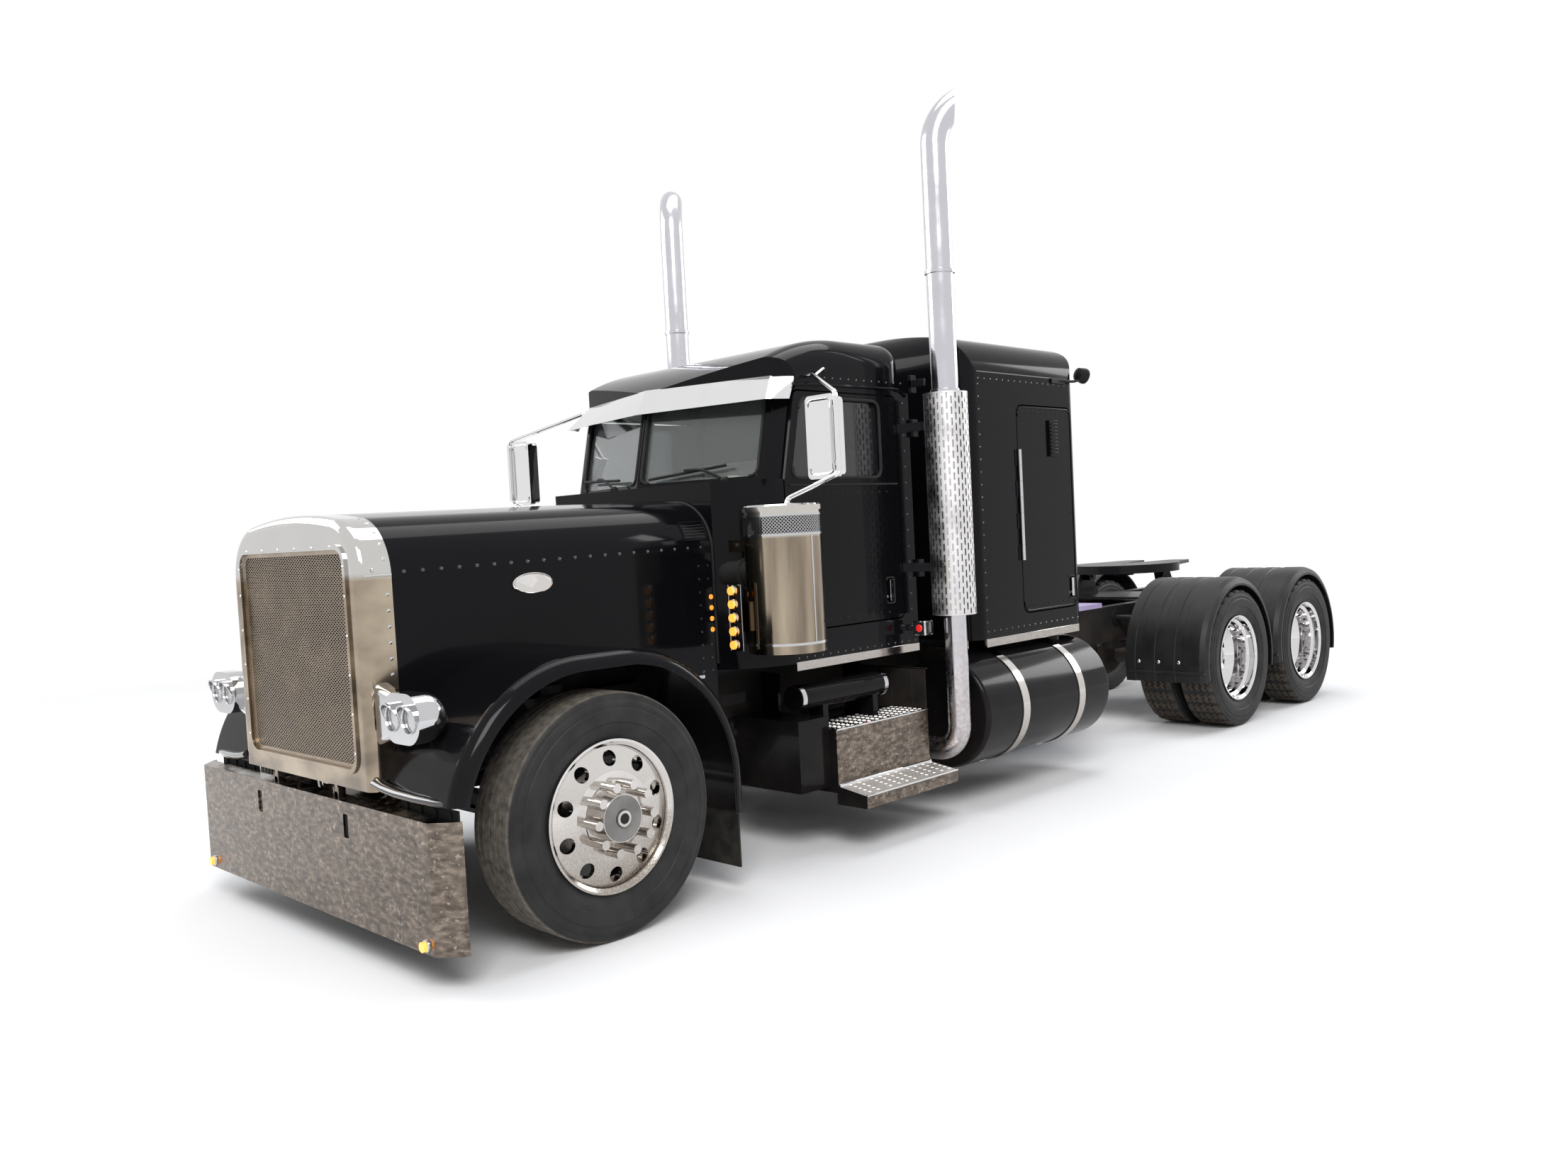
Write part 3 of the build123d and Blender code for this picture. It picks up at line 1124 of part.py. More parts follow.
# Exhaust: floor pipe, muffler in its shield, and the straight stack with a turned-out tip
with BuildPart() as exhaust_stacks:
    tube(((470, STACK_D, 380), (STACK_X, STACK_D, 380), (STACK_X, STACK_D, 1180)), 64, 150)
    post(STACK_X, STACK_D, 1160, 2390, MUFFLER_RADIUS)
    bend_top = STACK_BEND_Z + STACK_BEND
    turn = 0.7071 * (STACK_BEND + 20)
    stack = (
        (STACK_X, STACK_D, 2380),
        (STACK_X, STACK_D, bend_top),
        (STACK_X + turn, STACK_D + turn, bend_top),
    )
    tube(stack, STACK_RADIUS, STACK_BEND, STACK_RADIUS - 4)
    tip = 0.7071 * STACK_TIP
    with Locations(Plane(origin=(STACK_X + tip, st(STACK_D + tip), bend_top), z_dir=(1, 1, 0))):
        Box(700, 700, 700, align=(Align.CENTER, Align.CENTER, Align.MIN), mode=Mode.SUBTRACT)
    for hold_z in (1400.0, 2200.0):
        block(830, STACK_X - 100, CAB_REAR, CAB_REAR + 14, hold_z, hold_z + 50)
    mirror(about=Plane.YZ)

# Air cleaners on the cowl, with the lamp bars before them
with BuildPart() as air_cleaners:
    post(CLEANER_X, CLEANER_D, 1090, 1770, CLEANER_RADIUS)
    post(CLEANER_X, CLEANER_D, 1770, 1792, CLEANER_RADIUS + 8)
    for hold_z in (1220.0, 1580.0):
        block(700, CLEANER_X, CLEANER_D - 20, CLEANER_D + 40, hold_z, hold_z + 60)
    block(940, 1020, 912, 926, 1110, 1430)
    block(968, 992, 920, 1020, 1200, 1340)
    add(cab_outer.part, mode=Mode.SUBTRACT)
    mirror(about=Plane.YZ)

# Lamps: bumper bullets and the lamp bars' five
LAMP_BAR = (1140.0, 1205.0, 1270.0, 1335.0, 1400.0)
with BuildPart() as marker_lamps:
    for bar_z in LAMP_BAR:
        lying(980, 894, 912, bar_z, 20)
    lying(1042, -FRONT_REACH, -BUMPER_REACH, 181, 20)
    for lamp_x in TAIL_LAMPS:
        lying(lamp_x, FRAME_REAR + 14, FRAME_REAR + 30, FRAME_BOTTOM + 95, 52)
    mirror(about=Plane.YZ)

# Mirrors on tube arms from the cab's corners
MIRROR_X = 1280.0
MIRROR_D = 1262.0
MIRROR_Z = 2113.0
MIRROR_WIDE = 190.0
MIRROR_TALL = 400.0
with BuildPart() as mirrors:
    arm = (
        (850, PILLAR_D + 160, 2470), (985, PILLAR_D + 125, 2462), (1389, 1256, 2315), (1389, 1256, 1930),
        (1100, 1200, 1830), (1100, 1180, 1785),
    )
    tube(arm, 12, 30)
    brace = ((1010, 1527, 2450), (975, 1640, 2500), (840, 1800, 2505))
    tube(brace, 8, 40)
    for head_d, head_depth, inset in ((MIRROR_D, 34.0, 0.0), (MIRROR_D + 34, 40.0, 22.0)):
        with BuildSketch(across(head_d)) as head:
            with Locations((MIRROR_X, MIRROR_Z)):
                RectangleRounded(MIRROR_WIDE - inset, MIRROR_TALL - inset, 26)
        extrude(head.sketch, amount=-head_depth)
    for clamp_z in (MIRROR_Z - 130, MIRROR_Z + 130):
        block(MIRROR_X + MIRROR_WIDE / 2 - 20, 1396, MIRROR_D - 8, MIRROR_D + 12, clamp_z - 12, clamp_z + 12)
    add(cab_outer.part, mode=Mode.SUBTRACT)
    add(cab_roof.part, mode=Mode.SUBTRACT)
    add(air_cleaners.part, mode=Mode.SUBTRACT)
    mirror(about=Plane.YZ)

# Rear fenders: half rounds over each twin pair, on tubes from the rails
with BuildPart() as rear_fenders:
    for station in DRIVES:
        dip = radians(REAR_FENDER_DIP)
        start = Plane(origin=(0, st(station), AXLE_Z), x_dir=(1, 0, 0), z_dir=(0, sin(dip), cos(dip)))
        r = REAR_FENDER_RADIUS
        with BuildSketch(start) as band:
            with BuildLine():
                outer = [(REAR_FENDER_IN, r)]
                for rib_x in RIBS:
                    outer += [
                        (rib_x - RIB_HALF, r), (rib_x - RIB_HALF + 5, r - RIB_DEPTH),
                        (rib_x + RIB_HALF - 5, r - RIB_DEPTH), (rib_x + RIB_HALF, r),
                    ]
                lip = [
                    (REAR_FENDER_OUT - 50, r), (REAR_FENDER_OUT - 15, r - 15), (REAR_FENDER_OUT, r - 50),
                    (REAR_FENDER_OUT, r - 66), (REAR_FENDER_OUT - 10, r - 66), (REAR_FENDER_OUT - 12, r - 50),
                    (REAR_FENDER_OUT - 24, r - 24), (REAR_FENDER_OUT - 52, r - 12), (REAR_FENDER_IN, r - 12),
                ]
                Polyline(*outer, *lip, close=True)
            make_face()
        revolve(band.sketch, axis=axle_axis(station), revolution_arc=180 + 2 * REAR_FENDER_DIP)
        for reach in (-1, 1):
            tube_d = station + reach * (r - 30) * cos(radians(35))
            tube_z = AXLE_Z + (r - 30) * sin(radians(35))
            bar(FRAME_HALF, REAR_FENDER_OUT - 80, tube_d, tube_z, 22)
            bar(FRAME_HALF, FRAME_HALF + 12, tube_d, tube_z, 60)
    mirror(about=Plane.YZ)

# Deck plate behind the sleeper
with BuildPart() as deck_plate:
    block(-FRAME_HALF, FRAME_HALF, SLEEPER_REAR + 30, 5300, FRAME_TOP, FRAME_TOP + 35)

# Fifth wheel: base with pivot stands on the rails, and the rocking top plate
with BuildPart() as fifth_wheel_base:
    block(-FRAME_HALF, FRAME_HALF, FIFTH_D - 330, FIFTH_D + 330, FRAME_TOP, FRAME_TOP + 20)
    for stand_x in (-392.0, 352.0):
        stand = [
            (FIFTH_D - 170, FRAME_TOP + 20), (FIFTH_D + 170, FRAME_TOP + 20),
            (FIFTH_D + 50, FIFTH_PIVOT_Z + 38), (FIFTH_D - 50, FIFTH_PIVOT_Z + 38),
        ]
        prism(side(stand_x), stand, 40)
    for pin_x in (-392.0, 296.0):
        bar(pin_x, pin_x + 96, FIFTH_D, FIFTH_PIVOT_Z, 22)
with BuildPart() as fifth_wheel:
    with BuildSketch(level(FIFTH_TOP - 28)) as plate:
        with Locations((0, FIFTH_D)):
            Circle(457)
        with BuildLine():
            Polyline(
                (-400, FIFTH_D + 150), (400, FIFTH_D + 150), (300, FIFTH_D + 600), (-300, FIFTH_D + 600),
                close=True,
            )
        make_face()
        with BuildLine():
            Polyline(
                (-30, FIFTH_D + 95), (30, FIFTH_D + 95), (130, FIFTH_D + 620), (-130, FIFTH_D + 620),
                close=True,
            )
        make_face(mode=Mode.SUBTRACT)
    extrude(plate.sketch, amount=28)
    post(0, FIFTH_D, FIFTH_TOP - 100, FIFTH_TOP - 20, 80)
    for ear_x in (-342.0, 306.0):
        ear = [
            (FIFTH_D - 80, FIFTH_TOP - 20), (FIFTH_D + 80, FIFTH_TOP - 20),
            (FIFTH_D + 42, FIFTH_PIVOT_Z - 40), (FIFTH_D - 42, FIFTH_PIVOT_Z - 40),
        ]
        prism(side(ear_x), ear, 36)
        bar(ear_x - 5, ear_x + 45, FIFTH_D, FIFTH_PIVOT_Z, 22 + RUN, Mode.SUBTRACT)
    post(0, FIFTH_D, FIFTH_TOP - 150, FIFTH_TOP + 10, KING_BORE, Mode.SUBTRACT)

PARTS = {
    "frame_rails": frame_rails, "crossmembers": crossmembers, "front_bumper": front_bumper, "hood": hood,
    "grille_shell": grille_shell, "grille_screen": grille_screen, "front_fenders": front_fenders,
    "front_mudflaps": front_mudflaps, "headlamps": headlamps, "headlamp_lenses": headlamp_lenses,
    "powertrain": powertrain, "axles": axles,
    "springs": springs, "knuckle_left": knuckle_left, "knuckle_right": knuckle_right, "tie_rod": tie_rod,
    "front_wheel_left": front_wheel_left, "front_wheel_right": front_wheel_right,
    "front_tyre_left": front_tyre_left, "front_tyre_right": front_tyre_right,
    "drive_wheel_1_left": drive_wheel_1_left, "drive_wheel_1_right": drive_wheel_1_right,
    "drive_wheel_2_left": drive_wheel_2_left, "drive_wheel_2_right": drive_wheel_2_right,
    "drive_tyres_1_left": drive_tyres_1_left, "drive_tyres_1_right": drive_tyres_1_right,
    "drive_tyres_2_left": drive_tyres_2_left, "drive_tyres_2_right": drive_tyres_2_right,
    "cab_cowl": cab_cowl, "cab_rear": cab_rear, "cab_floor": cab_floor, "cab_roof": cab_roof,
    "windscreen": windscreen, "door_left": door_left, "door_right": door_right,
    "door_glass_left": door_glass_left, "door_glass_right": door_glass_right, "dashboard": dashboard,
    "seats": seats, "sun_visor": sun_visor, "sleeper_floor": sleeper_floor,
    "sleeper_ends": sleeper_ends, "sleeper_sides": sleeper_sides, "sleeper_roof": sleeper_roof,
    "bunk_door_left": bunk_door_left, "bunk_door_right": bunk_door_right, "boot": boot,
    "tanks": tanks, "tank_brackets": tank_brackets, "step_boxes": step_boxes,
    "exhaust_stacks": exhaust_stacks, "air_cleaners": air_cleaners, "marker_lamps": marker_lamps,
    "mirrors": mirrors, "rear_fenders": rear_fenders, "deck_plate": deck_plate,
    "fifth_wheel_base": fifth_wheel_base, "fifth_wheel": fifth_wheel,
}
os.makedirs("parts", exist_ok=True)
for name, built in PARTS.items():
    built.part.label = name
    export_step(built.part, f"parts/{name}.step")
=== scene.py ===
"""Looks for the long-nose tractor unit: materials, tread, mesh, rivets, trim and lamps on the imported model.

Metres. X runs to the truck's left, Y to the rear and Z up. Stations are distances behind the front axle.
"""

from math import cos, hypot, pi, radians, sin

import bmesh
import bpy
from mathutils import Matrix, Vector


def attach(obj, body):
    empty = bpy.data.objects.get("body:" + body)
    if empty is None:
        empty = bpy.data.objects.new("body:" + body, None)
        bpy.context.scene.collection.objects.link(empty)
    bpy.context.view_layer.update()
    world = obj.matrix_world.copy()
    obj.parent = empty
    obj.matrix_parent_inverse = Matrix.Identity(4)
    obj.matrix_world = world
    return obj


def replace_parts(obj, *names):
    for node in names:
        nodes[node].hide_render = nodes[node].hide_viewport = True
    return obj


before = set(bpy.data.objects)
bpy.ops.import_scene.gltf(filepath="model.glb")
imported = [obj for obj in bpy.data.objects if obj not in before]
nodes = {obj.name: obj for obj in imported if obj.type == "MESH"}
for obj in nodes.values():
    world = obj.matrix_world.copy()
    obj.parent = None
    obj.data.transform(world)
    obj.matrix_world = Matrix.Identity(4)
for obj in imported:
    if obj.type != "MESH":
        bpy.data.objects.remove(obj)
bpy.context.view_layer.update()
scene = bpy.context.scene

AXLE_Y = -3.5385
TYRE_R = 0.522
TYRE_W = 0.280
FRONT_TYRE_X = 1.044
REAR_TYRE_X = 1.084
TWIN = 0.330
DRIVES = (5.980, 7.294)


def at(x, d, z):
    """A point given by X, station and height."""
    return Vector((x, AXLE_Y + d, z))


def placed(name, data):
    """An object of the data, linked to the scene."""
    obj = bpy.data.objects.new(name, data)
    scene.collection.objects.link(obj)
    return obj


def mesh_object(name, verts, faces, material):
    """A mesh object with one material."""
    mesh = bpy.data.meshes.new(name)
    mesh.from_pydata(verts, [], faces)
    mesh.materials.append(material)
    return placed(name, mesh)


# Materials


def feed(node, name, value):
    """Links a socket to one of a node's inputs, or sets a constant there."""
    if isinstance(value, bpy.types.NodeSocket):
        node.id_data.links.new(value, node.inputs[name])
    else:
        node.inputs[name].default_value = value


def put(node, values):
    """Feeds several inputs by name."""
    for name, value in values.items():
        feed(node, name, value)


def new_material(name, metallic=0.0):
    """A node material, its tree and its shader."""
    mat = bpy.data.materials.new(name)
    mat.use_nodes = True
    tree = mat.node_tree
    tree.nodes.clear()
    out = tree.nodes.new("ShaderNodeOutputMaterial")
    shader = tree.nodes.new("ShaderNodeBsdfPrincipled")
    feed(shader, "Metallic", metallic)
    feed(out, 0, shader.outputs[0])
    return mat, tree, shader


def coords(tree, stretch=(1.0, 1.0, 1.0)):
    """Object coordinates in metres, stretched along each axis if asked."""
    tex = tree.nodes.new("ShaderNodeTexCoord")
    mapping = tree.nodes.new("ShaderNodeMapping")
    feed(mapping, "Scale", stretch)
    feed(mapping, "Vector", tex.outputs["Object"])
    return mapping.outputs[0]


def noise(tree, scale, detail=4.0, stretch=(1.0, 1.0, 1.0)):
    """A noise factor at that many waves per metre."""
    node = tree.nodes.new("ShaderNodeTexNoise")
    put(node, {"Scale": scale, "Detail": detail})
    feed(node, "Vector", coords(tree, stretch))
    return node.outputs["Fac"]


def ramp(tree, fac, stops):
    """Colours by factor."""
    node = tree.nodes.new("ShaderNodeValToRGB")
    elements = node.color_ramp.elements
    while len(elements) < len(stops):
        elements.new(0.5)
    for element, (place, colour) in zip(elements, stops):
        element.position = place
        element.color = (*colour, 1)
    feed(node, "Fac", fac)
    return node.outputs["Color"]


def span(tree, fac, low, high, from_low=0.0, from_high=1.0):
    """A factor mapped from one range to another, clamped."""
    node = tree.nodes.new("ShaderNodeMapRange")
    put(node, {"From Min": from_low, "From Max": from_high, "To Min": low, "To Max": high})
    feed(node, "Value", fac)
    return node.outputs[0]


def mix(tree, fac, a, b):
    """Mix of two colours, each a socket or a constant."""
    node = tree.nodes.new("ShaderNodeMix")
    node.data_type = "RGBA"
    feed(node, "Factor", fac)
    colour_inputs = [s for s in node.inputs if s.type == "RGBA"]
    for value, socket in zip((a, b), colour_inputs):
        if isinstance(value, bpy.types.NodeSocket):
            tree.links.new(value, socket)
        else:
            socket.default_value = (*value, 1)
    return [s for s in node.outputs if s.type == "RGBA"][0]


def math_node(tree, operation, a, b):
    """A maths node on sockets or numbers."""
    node = tree.nodes.new("ShaderNodeMath")
    node.operation = operation
    feed(node, 0, a)
    feed(node, 1, b)
    return node.outputs[0]


def rest_place(tree, axis):
    """One coordinate of the point, with the truck at rest."""
    tex = tree.nodes.new("ShaderNodeTexCoord")
    split = tree.nodes.new("ShaderNodeSeparateXYZ")
    feed(split, 0, tex.outputs["Object"])
    return split.outputs[axis]


def bump(tree, shader, fac, strength, distance):
    """Bump from a factor."""
    node = tree.nodes.new("ShaderNodeBump")
    put(node, {"Strength": strength, "Distance": distance})
    feed(node, "Height", fac)
    feed(shader, "Normal", node.outputs[0])


def ripple(tree, shader):
    """The faint waves of polished metal."""
    bump(tree, shader, noise(tree, 9.0, 3.0), 0.015, 0.004)


def moulded_lens(tree, shader):
    """The gloss and fine ribs of a moulded lens."""
    put(shader, {"Roughness": 0.15, "Coat Weight": 1.0})
    bump(tree, shader, noise(tree, 300.0, 1.0), 0.2, 0.0006)


# The brown that paint turns toward the floor
LOW_BROWN = (0.16, 0.125, 0.095)
# Brown of the painted ground reflection on metal
GROUND_REFLECTION_BROWN = (0.34, 0.26, 0.19)
# Pale specks in the painted reflection of the gravel ground
PALE_GRAVEL_SPECK = (0.52, 0.45, 0.37)
MARKER_GLOW = (1.0, 0.55, 0.12)
SIDEWALL_TONES = ((0.014, 0.014, 0.015), (0.030, 0.029, 0.028))
# Tones of the grainy painted reflection of the brown ground
GROUND_REFLECTION_TONES = ((0.34, (0.13, 0.10, 0.078)), (0.50, (0.24, 0.195, 0.15)), (0.66, (0.40, 0.34, 0.27)))
STREAK_PLACES = (0.32, 0.50, 0.68)
TAIL_LAMPS = (3.9, 4.0)


def paint(name, colour, rough, low_brown=0.0, gloss=(0.08, 0.09)):
    """Coated paint with faint orange peel, turning browner toward the floor if asked."""
    mat, tree, shader = new_material(name)
    grain = noise(tree, 3.0)
    base = mix(tree, grain, colour, tuple(1.35 * c for c in colour))
    if low_brown:
        low = span(tree, rest_place(tree, "Z"), low_brown, 0.0, 0.15, 1.1)
        low_mask = math_node(tree, "MULTIPLY", low, span(tree, noise(tree, 5.0, 8.0), 0.2, 1.0, 0.3, 0.7))
        base = mix(tree, low_mask, base, LOW_BROWN)
        feed(shader, "Roughness", math_node(tree, "ADD", span(tree, low_mask, 0.0, 0.5), rough))
    else:
        feed(shader, "Roughness", span(tree, noise(tree, 11.0), rough * 0.7, rough * 1.5))
    feed(shader, "Base Color", base)
    put(shader, {"Specular IOR Level": gloss[0], "Coat Weight": gloss[1], "Coat Roughness": 0.03})
    bump(tree, shader, noise(tree, 260.0, 2.0), 0.02, 0.0004)
    return mat


def metal(name, colour, rough, low_brown=0.0, top=0.7, brushed=None):
    """Bright metal with smears, optional brushing, and a painted reflection of the brown ground that thickens toward
    the floor.
    """
    mat, tree, shader = new_material(name, 1.0)
    smear = noise(tree, 7.0, 6.0)
    base = mix(tree, smear, tuple(0.92 * c for c in colour), colour)
    gloss = span(tree, smear, rough * 0.6, rough * 1.6, 0.3, 0.7)
    if low_brown:
        low = span(tree, rest_place(tree, "Z"), 1.0, 0.0, 0.1, top)
        specks = span(tree, noise(tree, 46.0, 12.0), 0.0, 1.0, 0.42, 0.66)
        cloud = span(tree, noise(tree, 2.4, 5.0), 0.35, 1.0, 0.3, 0.7)
        amount = math_node(tree, "MULTIPLY", low, low_brown)
        low_mask = math_node(tree, "MULTIPLY", amount, math_node(tree, "ADD", specks, cloud))
        base = mix(tree, low_mask, base, GROUND_REFLECTION_BROWN)
        gloss = math_node(tree, "ADD", gloss, span(tree, low_mask, 0.0, 0.45))
    if brushed:
        bump(tree, shader, noise(tree, 90.0, 3.0, brushed), 0.06, 0.0006)
    else:
        ripple(tree, shader)
    feed(shader, "Base Color", base)
    feed(shader, "Roughness", gloss)
    return mat


def grainy_reflection_metal(name, colour, rough, low, high, cover):
    """Polished metal with a grainy painted reflection of the brown ground, heavy below one height and thin above
    another.
    """
    mat, tree, shader = new_material(name, 1.0)
    speckle = noise(tree, 130.0, 12.0)
    drift = noise(tree, 4.0, 6.0)
    tone = ramp(tree, speckle, GROUND_REFLECTION_TONES)
    amount = math_node(tree, "MULTIPLY", span(tree, rest_place(tree, "Z"), cover, 0.12, low, high),
                       span(tree, drift, 0.82, 1.0, 0.35, 0.6))
    feed(shader, "Base Color", mix(tree, amount, colour, tone))
    low_mask = math_node(tree, "MULTIPLY", amount, span(tree, speckle, 0.10, 0.34, 0.3, 0.7))
    feed(shader, "Roughness", math_node(tree, "ADD", low_mask, rough))
    ripple(tree, shader)
    return mat


def streaked_reflection_metal(name, colour, rough, levels, wave, tones, speckle):
    """Polished metal with a streaked painted reflection of the brown ground that ends between two heights, with pale
    specks if asked.
    """
    mat, tree, shader = new_material(name, 1.0)
    scale, detail, stretch = wave
    streak = noise(tree, scale, detail, stretch)
    tone = ramp(tree, streak, list(zip(STREAK_PLACES, tones)))
    if speckle:
        speck = span(tree, noise(tree, 58.0, 3.0), 0.0, speckle, 0.60, 0.72)
        tone = mix(tree, speck, tone, PALE_GRAVEL_SPECK)
    amount = span(tree, rest_place(tree, "Z"), 0.94, 0.08, *levels)
    feed(shader, "Base Color", mix(tree, amount, colour, tone))
    low_mask = math_node(tree, "MULTIPLY", amount, span(tree, streak, 0.04, 0.16 + 0.2 * speckle, 0.3, 0.7))
    feed(shader, "Roughness", math_node(tree, "ADD", low_mask, rough))
    ripple(tree, shader)
    return mat


def dull(name, colour, other, rough, scale=8.0, depth=0.0006, grain=120.0):
    """Rubber, plastic or bare casting: two tones by noise and a fine grain."""
    mat, tree, shader = new_material(name)
    base = mix(tree, span(tree, noise(tree, scale, 8.0), 0.0, 1.0, 0.35, 0.65), colour, other)
    feed(shader, "Specular IOR Level", 0.25)
    feed(shader, "Base Color", base)
    feed(shader, "Roughness", span(tree, noise(tree, scale * 2), rough * 0.85, min(1.0, rough * 1.15)))
    bump(tree, shader, noise(tree, grain, 3.0), 0.25, depth)
    return mat


def glass(name, colour, rough, alpha):
    """Thin glass: a glossy film, part seen through."""
    mat, tree, shader = new_material(name)
    put(shader, {"Base Color": (*colour, 1), "Transmission Weight": alpha, "IOR": 1.1})
    put(shader, {"Coat Weight": 1.0, "Coat Roughness": 0.02})
    feed(shader, "Roughness", span(tree, noise(tree, 6.0), rough * 0.5, rough * 1.5))
    return mat


def lamp(name, colour, strength):
    """A glowing lens: ribbed colour with light from inside."""
    mat, tree, shader = new_material(name)
    glow = noise(tree, 160.0, 2.0)
    feed(shader, "Base Color", mix(tree, glow, tuple(0.8 * c for c in colour), colour))
    feed(shader, "Emission Color", mix(tree, glow, tuple(0.75 * c for c in colour), colour))
    feed(shader, "Emission Strength", strength)
    moulded_lens(tree, shader)
    return mat


def marker(name, front, rear, strength):
    """Lamp lens whose colour turns from front to rear at the truck's tail."""
    mat, tree, shader = new_material(name)
    station = rest_place(tree, "Y")
    colour = mix(tree, span(tree, station, 0.0, 1.0, *TAIL_LAMPS), front, rear)
    feed(shader, "Base Color", colour)
    feed(shader, "Emission Color", mix(tree, noise(tree, 160.0, 2.0), colour, MARKER_GLOW))
    feed(shader, "Emission Strength", span(tree, station, strength, 0.15, *TAIL_LAMPS))
    moulded_lens(tree, shader)
    return mat


def tyre_material(name, tread_from, tread_to, tread_colour):
    """Tyre rubber: black sides, dusty tread by radius about the axle."""
    mat, tree, shader = new_material(name)
    uv = tree.nodes.new("ShaderNodeUVMap")
    uv.uv_map = "turn"
    split = tree.nodes.new("ShaderNodeSeparateXYZ")
    feed(split, 0, uv.outputs[0])
    worn = span(tree, split.outputs["Y"], 0.0, 1.0, tread_from, tread_to)
    patches = span(tree, noise(tree, 34.0, 8.0), 0.35, 1.0, 0.3, 0.65)
    side = mix(tree, span(tree, noise(tree, 9.0, 6.0), 0.0, 1.0, 0.3, 0.7), *SIDEWALL_TONES)
    feed(shader, "Base Color", mix(tree, math_node(tree, "MULTIPLY", worn, patches), side, tread_colour))
    feed(shader, "Roughness", span(tree, worn, 0.55, 0.9))
    feed(shader, "Specular IOR Level", 0.2)
    bump(tree, shader, noise(tree, 420.0, 3.0), 0.3, 0.0006)
    return mat


BLACK = paint("paint_gloss_black", (0.0035, 0.0035, 0.0045), 0.10)
BLACK_LOW = paint("paint_gloss_black_low", (0.0035, 0.0035, 0.0045), 0.12, 0.10)
RIVET = paint("paint_rivets", (0.012, 0.012, 0.014), 0.08, 0.0, (0.5, 1.0))
CHASSIS = paint("paint_chassis", (0.010, 0.010, 0.011), 0.34, 0.5)
CHROME = metal("chrome", (0.58, 0.58, 0.59), 0.05)
# Dark, middle and pale tones of the painted reflection of the brown gravel ground on chrome
GRAVEL_REFLECTION = ((0.055, 0.041, 0.032), (0.125, 0.098, 0.076), (0.25, 0.20, 0.155))
# Tan tones of the painted reflection of the ground on the shell and air cleaners
TAN_REFLECTION = ((0.16, 0.125, 0.09), (0.34, 0.275, 0.20), (0.46, 0.39, 0.29))
# A brighter copy of the chrome for the visor, mirrors, step nosings and fender bolts: a painted highlight for their
# brighter reflection
CHROME_BRIGHT = metal("chrome_bright", (0.78, 0.78, 0.79), 0.05)
# Bumper, sills and step faces: warm chrome with a streaked painted reflection of the brown gravel ground below 1.1 m,
# with pale specks
CHROME_LOW = streaked_reflection_metal("chrome_ground_reflection", (0.56, 0.53, 0.50), 0.06, (0.66, 1.10),
                        (34.0, 10.0, (0.6, 0.6, 1.5)), GRAVEL_REFLECTION, 0.6)
# Air cleaners: vertical tan streaks below 1.64 m, a painted reflection of the ground
CHROME_SIDE = streaked_reflection_metal("chrome_side", (0.60, 0.58, 0.55), 0.03, (1.640, 1.655),
                         (9.0, 3.0, (1.0, 1.0, 0.10)), TAN_REFLECTION, 0.0)
# Tread plate: a faint painted reflection of the brown ground
TREAD = grainy_reflection_metal("tread_plate", (0.86, 0.84, 0.82), 0.48, 0.0, 0.6, 0.05)
# Grille shell: a tan painted reflection of the ground below its seam at 1.56 m
SHELL = streaked_reflection_metal("polished_shell", (0.60, 0.59, 0.58), 0.03, (1.560, 1.590),
                   (3.2, 3.0, (1.0, 1.0, 1.6)), TAN_REFLECTION, 0.0)
# Stacks: the lilac tint is a painted reflection of the sky, and the brown at the foot a painted reflection of the
# ground
STACK = metal("polished_stack", (0.62, 0.61, 0.65), 0.14, 0.55, 1.3, (1, 1, 0.02))
# Front wheels, tank brackets and badge: a brown painted reflection of the ground on the lower parts
ALLOY = grainy_reflection_metal("polished_alloy", (0.70, 0.68, 0.66), 0.05, 0.30, 0.72, 0.72)
ALLOY_REAR = metal("polished_alloy_rear", (0.70, 0.69, 0.69), 0.05)
SHIELD = metal("slotted_shield", (0.74, 0.73, 0.72), 0.36)
SCREEN = metal("screen_wire", (0.42, 0.35, 0.28), 0.38)
# Deck plate: its lilac colour is a painted reflection of the sky
DECK = dull("deck_alloy", (0.40, 0.33, 0.55), (0.45, 0.38, 0.60), 0.45, 3.0)
IRON = dull("cast_iron", (0.03, 0.03, 0.032), (0.07, 0.065, 0.06), 0.6)
HUB_GREY = dull("hub_casting", (0.15, 0.145, 0.14), (0.23, 0.225, 0.215), 0.5)
RUBBER = dull("moulded_rubber", (0.010, 0.010, 0.010), (0.022, 0.021, 0.020), 0.7)
FLAP = dull("flap_rubber", (0.012, 0.012, 0.012), (0.035, 0.030, 0.025), 0.8, 16.0)
PLASTIC = dull("fender_plastic", (0.010, 0.010, 0.010), (0.018, 0.018, 0.018), 0.42, 6.0, 0.0004, 300.0)
DASH = dull("dash_plastic", (0.40, 0.36, 0.31), (0.46, 0.42, 0.37), 0.6)
LEATHER = dull("seat_leather", (0.36, 0.33, 0.29), (0.43, 0.39, 0.34), 0.5, 30.0, 0.001, 240.0)
# Near-black for painted shade: behind the grille mesh where the radiator sits, inside the tow slots and inside the
# cleaners' inlets
DARK = dull("dark_inside", (0.004, 0.004, 0.004), (0.009, 0.009, 0.009), 0.8)
CLEAR = glass("windscreen_glass", (0.80, 0.86, 0.84), 0.01, 0.96)
TINT = glass("tinted_glass", (0.09, 0.09, 0.10), 0.02, 0.85)
LENS = glass("lamp_glass", (0.95, 0.95, 0.96), 0.02, 0.92)
AMBER = lamp("amber_lens", (0.95, 0.32, 0.03), 1.1)
RED = lamp("red_lens", (0.75, 0.02, 0.02), 0.5)
MARKER = marker("marker_lens", (0.95, 0.36, 0.04), (0.60, 0.015, 0.015), 1.1)
FRONT_TREAD = tyre_material("front_tyre_rubber", 0.5105, 0.519, (0.17, 0.15, 0.125))
